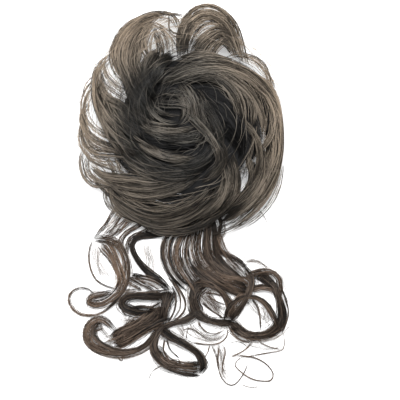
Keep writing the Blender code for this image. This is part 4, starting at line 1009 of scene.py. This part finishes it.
def core_of(shell, route):
    """Adds a lock's dark inside to a bmesh, as painted shade: a tapered body under the strands."""
    loops = []
    for t in np.linspace(*CORE_RUN, CORE_SECTIONS):
        place = round(t * (len(route.points) - 1))
        slim = tapered(np.array(t), CORE_END, CORE_END, CORE_EASE)
        middle = route.points[place] - route.top[place] * route.half_thickness[place] * CORE_SINK
        section = Matrix((
            route.side[place] * route.half_width[place] * CORE_WIDTH * slim,
            route.top[place] * route.half_thickness[place] * CORE_THICKNESS * slim,
            np.cross(route.side[place], route.top[place]),
        )).transposed()
        made = bmesh.ops.create_circle(shell, segments=CORE_SIDES, radius=1.0)
        bmesh.ops.transform(shell, matrix=Matrix.Translation(middle) @ section.to_4x4(), verts=made["verts"])
        loops.append(list({edge for corner in made["verts"] for edge in corner.link_edges}))
    for behind, ahead in zip(loops, loops[1:]):
        bmesh.ops.bridge_loops(shell, edges=behind + ahead)
    bmesh.ops.holes_fill(shell, edges=loops[0] + loops[-1], sides=CORE_SIDES)


def painted_shade_cores(name, routes, material, slot):
    """The dark insides of the dense locks, as painted shade."""
    shell = bmesh.new()
    for route in routes:
        core_of(shell, route)
    bmesh.ops.recalc_face_normals(shell, faces=shell.faces)
    return place_piece(name, finished_mesh(shell, name), material, slot)


def bun_strands(hair, under_fibre, under_hair):
    """The bun's locks, a piece for each part of the swirl, and the deep ones between them in painted shade.
    """
    cored, deep = [], Hank()
    for number, (region, locks) in enumerate(bun_locks().items()):
        rng = np.random.default_rng(BUN_SEED + number)
        hank = Hank()
        for width, lift, fullness, offset, rows in locks:
            route = bun_route(width, lift, rows)
            # A deep lock goes with the darker colours of painted shade.
            is_deep = offset <= DEEP_TONE
            count = max(8, round((DEEP_DENSITY if is_deep else BUN_DENSITY) * width * fullness))
            places = max(8, round(route.length / STEP / BUN_SPACING))
            trim = NEST_TRIM if region == "centre" else BUN_TRIM
            lay_lock(deep if is_deep else hank, route, count, places, offset, rng, trim=trim)
            if fullness == FULL:
                cored.append(route)
        nodes = ("bun_hair",) if number == 0 else ()
        hank.piece(f"bun_hair_{region}", hair, "bun_hair", *nodes)
    deep.piece("bun_hair_deep", under_fibre, "bun_hair")
    painted_shade_cores("bun_hair_cores", cored, under_hair, "bun_hair")


def tail_strands(hair, under_hair):
    """The tails' locks, a piece for each tail."""
    cored = []
    for number, (tail, locks) in enumerate(tail_locks().items()):
        rng = np.random.default_rng(TAIL_SEED + number)
        hank = Hank()
        for width, low, high, fullness, offset, rows in locks:
            route = tail_route(width, low, high, rows)
            count = max(10, round(TAIL_DENSITY * width * fullness))
            places = max(10, round(route.length / STEP / TAIL_SPACING))
            lay_lock(
                hank, route, count, places, offset, rng, radius=TAIL_STRAND_RADIUS, tone=TAIL_TONE,
                stray=TAIL_STRAY_SHARE, stray_spread=TAIL_STRAY_SPREAD, trim=TAIL_TRIM,
            )
            if fullness == FULL:
                cored.append(route)
        hank.piece(f"{tail}_hair", hair, "tail_hair", tail)
    painted_shade_cores("tail_cores", cored, under_hair, "tail_hair")


def wisps(hair):
    """Loose hairs beside the locks."""
    rng = np.random.default_rng(WISP_SEED)
    hank = Hank()
    for count, width, low, high, rows in wisp_routes():
        route = tail_route(width, low, high, rows, WISP_END_WIDTHS)
        places = max(12, round(route.length / STEP / WISP_SPACING))
        is_haze = width >= HAZE_WIDTH
        wander = HAZE_WANDER if is_haze else WISP_WANDER
        lines, tops, _, _ = strands_along(
            route, count, places, rng, free=WISP_FREE_SHARE, wander=wander, trim=WISP_TRIM
        )
        radius = HAZE_RADIUS if is_haze else FINE_RADIUS
        shade = rng.uniform(*WISP_SHADES, (count, 1))
        hank.add(lines, tops, radius, shade, np.full(lines.shape[:2], WISP_TONE))
    hank.piece("loose_wisps", hair, "tail_hair")


def flyaways(hair):
    """Single hairs that stand off the bun, over it and past its rim."""
    rng = np.random.default_rng(FLYAWAY_SEED)
    hank = Hank()
    for count, nearest, farthest, length, out, low, high in FLYAWAYS:
        t = np.linspace(0, 1, FLYAWAY_PLACES)
        reach = rng.uniform(nearest, farthest, (count, 1)) + rng.normal(out, FLYAWAY_CHANCE, (count, 1)) * t
        wave_speed = rng.uniform(*FLYAWAY_WAVES, (count, 1))
        wave_start = rng.uniform(0, 1, (count, 1))
        reach += FLYAWAY_WAVE_DEPTH * np.sin(2 * np.pi * (wave_speed * t + wave_start))
        start = rng.uniform(0, 2 * np.pi, (count, 1))
        turn = start - rng.uniform(*FLYAWAY_TURNS, (count, 1)) * length * t
        x = BUN_RADIUS * reach * np.cos(turn)
        y = BUN_RADIUS * reach * np.sin(turn)
        lift = STEP * rng.uniform(low, high, (count, 1)) * np.sin(np.pi * (0.1 + 0.9 * t))
        lines = np.stack([x, y, np.maximum(crown_height(x, y) + lift, raised_over_tails(x, y))], axis=-1)
        # A flyaway in a hollow takes part of its painted shade.
        shade = rng.uniform(*FLYAWAY_SHADES, (count, 1)) * (1 - FLYAWAY_PAINTED_SHADE * painted_hollow_shade_at(lines))
        hank.add(lines, crown_normal(x, y), FLYAWAY_RADIUS, shade, painted_light_tone_at(lines, STRAY_TONE))
    hank.piece("bun_hair_flyaways", hair, "bun_hair")


def swirl_fill(hair):
    """Short strands on the backing, dark as painted shade, in the same spiral as the locks."""
    rng = np.random.default_rng(FILL_SEED)
    hank = Hank()
    each = (FILL_COUNT, 1)
    t = np.linspace(0, 1, FILL_PLACES)
    start = rng.uniform(*FILL_START, each) ** 0.8
    reach = start + rng.uniform(*FILL_RUN, each) * t
    turn = rng.uniform(0, 2 * np.pi, each) - rng.uniform(*FILL_TURN, each) * t
    off = reach / BACKING_REACH
    x = BUN_RADIUS * (reach * np.cos(turn) + BACKING_SHIFT[0] * off)
    y = BUN_RADIUS * (reach * np.sin(turn) + BACKING_SHIFT[1] * off)
    lift = rng.uniform(*FILL_LIFT, each) * np.sin(np.pi * t)
    z = crown_height(x, y) - BACKING_SINK + FILL_CLEARANCE + lift
    lines = np.stack([x, y, z], axis=-1)
    shade = rng.uniform(*FILL_SHADES, each)
    hank.add(lines, crown_normal(x, y), STRAND_RADIUS, shade, painted_light_tone_at(lines, FILL_TONE))
    hank.piece("bun_hair_under", hair, "bun_hair")


def belly_strands(hair):
    """Strands that wrap from the bun's rim round its belly and under it to the elastic ring."""
    rng = np.random.default_rng(BELLY_SEED)
    hank = Hank()
    each = (BELLY_COUNT, 1)
    t = np.linspace(0, 1, BELLY_PLACES)
    turn = rng.uniform(0, 2 * np.pi, each) + rng.uniform(*BELLY_TURN, each) * t
    reach = (BACKING_REACH + rng.uniform(*BELLY_REACH_CHANCE, each)) * np.interp(t, BELLY_DOWN, BELLY_REACH)
    off = np.clip(reach / BACKING_REACH, 0, 1)
    x = BUN_RADIUS * (reach * np.cos(turn) + BACKING_SHIFT[0] * off)
    y = BUN_RADIUS * (reach * np.sin(turn) + BACKING_SHIFT[1] * off)
    height = np.interp(t, BELLY_DOWN, BELLY_HEIGHTS) + rng.normal(0, BELLY_HEIGHT_CHANCE, each)
    z = np.maximum(height, raised_over_tails(x, y) - BELLY_UNDER)
    lines = np.stack([x, y, z], axis=-1)
    tops = unit(np.stack([np.cos(turn), np.sin(turn), -0.3 * np.ones_like(turn)], axis=-1))
    # Belly strands keep low shades, as painted shade under the bun's rim.
    shade = rng.uniform(*BELLY_SHADES, each)
    hank.add(lines, tops, BELLY_STRAND_RADIUS, shade, painted_light_tone_at(lines, BELLY_TONE))
    hank.piece("bun_hair_belly", hair, "bun_hair")


def ring_loop(shell, radius, centre, height):
    """One level ring of edges in a bmesh."""
    made = bmesh.ops.create_circle(shell, segments=BACKING_SIDES, radius=1.0)
    place = Matrix.Translation((centre[0], centre[1], height)) @ Matrix.Diagonal((radius, radius, 1, 1))
    bmesh.ops.transform(shell, matrix=place, verts=made["verts"])
    return [edge for edge in shell.edges if edge.verts[0] in made["verts"] and edge.verts[1] in made["verts"]]


def backing(under_hair):
    """The hair under the locks, dark as painted shade: a hollow crown round the elastic ring."""
    shell = bmesh.new()
    levels = []
    for reach in (*BACKING_LEVELS, BACKING_REACH):
        off = reach / BACKING_REACH
        centre = BUN_RADIUS * BACKING_SHIFT[0] * off, BUN_RADIUS * BACKING_SHIFT[1] * off
        radius = BUN_RADIUS * reach
        top = float(crown_height(np.array(radius), np.array(0.0)))
        levels.append((radius, centre, top - BACKING_SINK))
    off_centre = BUN_RADIUS * BACKING_SHIFT[0], BUN_RADIUS * BACKING_SHIFT[1]
    levels.append((BUN_RADIUS * BACKING_REACH, off_centre, BELLY_HEIGHT))
    levels.append((BUN_RADIUS * BACKING_FOOT, off_centre, TAIL_PASSAGE + FOOT_CLEARANCE))
    levels.append((HOLLOW_RADIUS, (0, 0), RING_HEIGHT + RING_CLEARANCE))
    levels.append((HOLLOW_RADIUS, (0, 0), HOLLOW_TOP * HOLLOW_SHOULDER))
    levels.append((HOLLOW_RADIUS * HOLLOW_TOP_WIDTH, (0, 0), HOLLOW_TOP))
    loops = [ring_loop(shell, radius, centre, height) for radius, centre, height in levels]
    for upper, lower in zip(loops, loops[1:]):
        bmesh.ops.bridge_loops(shell, edges=upper + lower)
    bmesh.ops.holes_fill(shell, edges=loops[0] + loops[-1], sides=BACKING_SIDES)
    bmesh.ops.recalc_face_normals(shell, faces=shell.faces)
    return place_piece("bun_backing", finished_mesh(shell, "bun_backing"), under_hair, "bun_hair")


def elastic_ring(material):
    """The gathered elastic ring: a rounded section turned round the middle, drawn in along its gathers."""
    shell = bmesh.new()
    made = bmesh.ops.create_circle(shell, segments=RING_SIDES, radius=1.0)
    radius = RING_OUTER - RING_WALL / 2
    section = Matrix.Diagonal((RING_WALL / 2, RING_HEIGHT / 2, 1, 1))
    stand = Matrix.Translation((radius, 0, RING_HEIGHT / 2)) @ Matrix.Rotation(math.pi / 2, 4, "X") @ section
    bmesh.ops.transform(shell, matrix=stand, verts=made["verts"])
    bmesh.ops.spin(
        shell, geom=shell.edges[:], cent=(0, 0, 0), axis=(0, 0, 1), angle=2 * math.pi,
        steps=GATHERS * GATHER_STEPS, use_merge=True,
    )
    bmesh.ops.remove_doubles(shell, verts=shell.verts, dist=1e-6)
    bmesh.ops.recalc_face_normals(shell, faces=shell.faces)
    for corner in shell.verts:
        turn = math.atan2(corner.co.y, corner.co.x)
        middle = Vector((radius * math.cos(turn), radius * math.sin(turn), RING_HEIGHT / 2))
        fold = 0.5 + 0.5 * math.cos(GATHERS * turn + GATHER_UNEVENNESS * math.sin(3 * turn))
        corner.co = middle + (corner.co - middle) * (1 - GATHER_DEPTH * fold)
    mesh = finished_mesh(shell, "elastic_ring")
    return place_piece("elastic_ring", mesh, material, "elastic", "elastic_band")


def principled(name, roughness, specular):
    """A new material and its shader."""
    material = bpy.data.materials.new(name)
    material.use_nodes = True
    shader = material.node_tree.nodes["Principled BSDF"]
    shader.inputs["Roughness"].default_value = roughness
    shader.inputs["Specular IOR Level"].default_value = specular
    return material, shader


def ranged(nodes, links, value, ends, easing="LINEAR"):
    """Turns a value from 0 to 1 into one between two ends."""
    node = nodes.new("ShaderNodeMapRange")
    node.interpolation_type = easing
    node.inputs["To Min"].default_value = ends[0]
    node.inputs["To Max"].default_value = ends[1]
    links.new(value, node.inputs["Value"])
    return node.outputs["Result"]


def fibre_group():
    """Turns a strand's shade and tone into its colour and roughness."""
    group = bpy.data.node_groups.new("fibre_colour", "ShaderNodeTree")
    group.interface.new_socket("Shade and tone", in_out="INPUT", socket_type="NodeSocketVector")
    for name in ("Deep", "Rim"):
        group.interface.new_socket(name, in_out="INPUT", socket_type="NodeSocketColor")
    group.interface.new_socket("Colour", in_out="OUTPUT", socket_type="NodeSocketColor")
    group.interface.new_socket("Roughness", in_out="OUTPUT", socket_type="NodeSocketFloat")
    nodes, links = group.nodes, group.links
    given, result = nodes.new("NodeGroupInput"), nodes.new("NodeGroupOutput")
    split = nodes.new("ShaderNodeSeparateXYZ")
    links.new(given.outputs["Shade and tone"], split.inputs[0])
    blend = nodes.new("ShaderNodeMix")
    blend.data_type = "RGBA"
    links.new(split.outputs["Y"], blend.inputs["Factor"])
    links.new(given.outputs["Deep"], blend.inputs[FIRST_COLOUR])
    links.new(given.outputs["Rim"], blend.inputs[SECOND_COLOUR])
    stretch = nodes.new("ShaderNodeVectorMath")
    stretch.operation = "MULTIPLY"
    stretch.inputs[1].default_value = MOTTLE_STRETCH
    links.new(given.outputs["Shade and tone"], stretch.inputs[0])
    mottle = nodes.new("ShaderNodeTexNoise")
    mottle.noise_dimensions = "2D"
    mottle.inputs["Scale"].default_value = 1
    links.new(stretch.outputs[0], mottle.inputs["Vector"])
    strength = nodes.new("ShaderNodeMath")
    strength.operation = "MULTIPLY"
    links.new(ranged(nodes, links, split.outputs["X"], FIBRE_BRIGHTNESS, "SMOOTHERSTEP"), strength.inputs[0])
    links.new(ranged(nodes, links, mottle.outputs["Fac"], FIBRE_MOTTLE), strength.inputs[1])
    shaded = nodes.new("ShaderNodeVectorMath")
    shaded.operation = "SCALE"
    links.new(blend.outputs[BLENDED_COLOUR], shaded.inputs[0])
    links.new(strength.outputs[0], shaded.inputs["Scale"])
    links.new(shaded.outputs[0], result.inputs["Colour"])
    links.new(ranged(nodes, links, mottle.outputs["Fac"], FIBRE_ROUGHNESS), result.inputs["Roughness"])
    return group


def hair_material(name, group, colours, specular=HAIR_SPECULAR):
    """Hair whose strands take their colour from their UV map."""
    deep, rim = colours
    material, shader = principled(name, FIBRE_ROUGHNESS[0], specular)
    nodes, links = material.node_tree.nodes, material.node_tree.links
    place = nodes.new("ShaderNodeUVMap")
    place.uv_map = "OFBake"
    fibre = nodes.new("ShaderNodeGroup")
    fibre.node_tree = group
    fibre.inputs["Deep"].default_value = (*deep, 1)
    fibre.inputs["Rim"].default_value = (*rim, 1)
    links.new(place.outputs["UV"], fibre.inputs["Shade and tone"])
    links.new(fibre.outputs["Colour"], shader.inputs["Base Color"])
    links.new(fibre.outputs["Roughness"], shader.inputs["Roughness"])
    return material


def finish_with(shader, nodes, links, pattern, colours, strength, depth):
    """Gives a shader two colours and a bump that both follow a pattern."""
    colour = nodes.new("ShaderNodeMix")
    colour.data_type = "RGBA"
    colour.inputs[FIRST_COLOUR].default_value = (*colours[0], 1)
    colour.inputs[SECOND_COLOUR].default_value = (*colours[1], 1)
    links.new(pattern, colour.inputs["Factor"])
    links.new(colour.outputs[BLENDED_COLOUR], shader.inputs["Base Color"])
    bump = nodes.new("ShaderNodeBump")
    bump.inputs["Strength"].default_value = strength
    bump.inputs["Distance"].default_value = depth
    links.new(pattern, bump.inputs["Height"])
    links.new(bump.outputs["Normal"], shader.inputs["Normal"])


def under_hair_material():
    """Painted shade for the hair inside and under the locks: soft streaks of two blacks."""
    material, shader = principled("under_hair", roughness=0.7, specular=UNDER_SPECULAR)
    nodes, links = material.node_tree.nodes, material.node_tree.links
    place = nodes.new("ShaderNodeTexCoord")
    streaks = nodes.new("ShaderNodeTexNoise")
    streaks.inputs["Scale"].default_value = STREAK_SCALE
    streaks.inputs["Detail"].default_value = 3
    links.new(place.outputs["Object"], streaks.inputs["Vector"])
    finish_with(shader, nodes, links, streaks.outputs["Fac"], SHADED_INNER_COLOURS, strength=0.6, depth=0.0003)
    return material


def knitted_material():
    """Black knitted elastic: fine rows along the ring."""
    material, shader = principled("knitted_elastic", roughness=0.85, specular=0.2)
    nodes, links = material.node_tree.nodes, material.node_tree.links
    place = nodes.new("ShaderNodeTexCoord")
    rows = nodes.new("ShaderNodeTexWave")
    rows.bands_direction = "Z"
    rows.inputs["Scale"].default_value = ROW_SCALE
    rows.inputs["Distortion"].default_value = 3
    rows.inputs["Detail"].default_value = 2
    links.new(place.outputs["Object"], rows.inputs["Vector"])
    finish_with(shader, nodes, links, rows.outputs["Fac"], KNIT_COLOURS, strength=0.5, depth=0.0002)
    return material


def floor_and_room():
    """A plain white floor in a soft room."""
    scene = bpy.context.scene
    scene.view_settings.view_transform = "Standard"
    sheet = bmesh.new()
    bmesh.ops.create_grid(sheet, x_segments=1, y_segments=1, size=FLOOR_HALF_SIZE)
    mesh = bpy.data.meshes.new("floor")
    sheet.to_mesh(mesh)
    sheet.free()
    floor = bpy.data.objects.new("floor", mesh)
    material, shader = principled("white_card", roughness=0.9, specular=0.1)
    shader.inputs["Base Color"].default_value = (FLOOR_WHITE, FLOOR_WHITE, FLOOR_WHITE, 1)
    shader.inputs["Emission Color"].default_value = (1, 1, 1, 1)
    shader.inputs["Emission Strength"].default_value = FLOOR_GLOW
    mesh.materials.append(material)
    scene.collection.objects.link(floor)
    world = bpy.data.worlds.new("soft_room")
    world.use_nodes = True
    world.node_tree.nodes["Background"].inputs["Color"].default_value = (1, 1, 1, 1)
    world.node_tree.nodes["Background"].inputs["Strength"].default_value = ROOM_LIGHT
    scene.world = world


def softboxes():
    """Round softboxes that look at the bun."""
    for name, place, watts in SOFTBOXES:
        light = bpy.data.lights.new(name, "AREA")
        light.shape = "DISK"
        light.size = SOFTBOX_SIZE
        light.energy = watts
        lamp = bpy.data.objects.new(name, light)
        bpy.context.scene.collection.objects.link(lamp)
        lamp.location = place
        lamp.rotation_euler = (Vector(MIDDLE) - Vector(place)).to_track_quat("-Z", "Y").to_euler()


def camera_above():
    """A camera straight above, as the piece is photographed."""
    camera_data = bpy.data.cameras.new("camera")
    camera_data.lens = LENS
    camera_data.sensor_width = SENSOR
    camera = bpy.data.objects.new("camera", camera_data)
    bpy.context.scene.collection.objects.link(camera)
    across, along = PICTURE_MIDDLE
    distance = SHOWN_STEPS * STEP * LENS / SENSOR
    camera.location = (MIDDLE[0] + across * STEP, MIDDLE[1] + along * STEP, distance + CAMERA_RISE)
    bpy.context.scene.camera = camera


def main():
    """The hairpiece and its stage."""
    group = fibre_group()
    bun_hair = hair_material("bun_hair_fibre", group, BUN_COLOURS)
    tail_hair = hair_material("tail_hair_fibre", group, TAIL_COLOURS)
    under_fibre = hair_material("under_hair_fibre", group, SHADED_UNDER_COLOURS, UNDER_SPECULAR)
    under_hair = under_hair_material()
    floor_and_room()
    softboxes()
    camera_above()
    elastic_ring(knitted_material())
    backing(under_hair)
    bun_strands(bun_hair, under_fibre, under_hair)
    swirl_fill(under_fibre)
    flyaways(bun_hair)
    belly_strands(bun_hair)
    tail_strands(tail_hair, under_hair)
    wisps(tail_hair)


main()
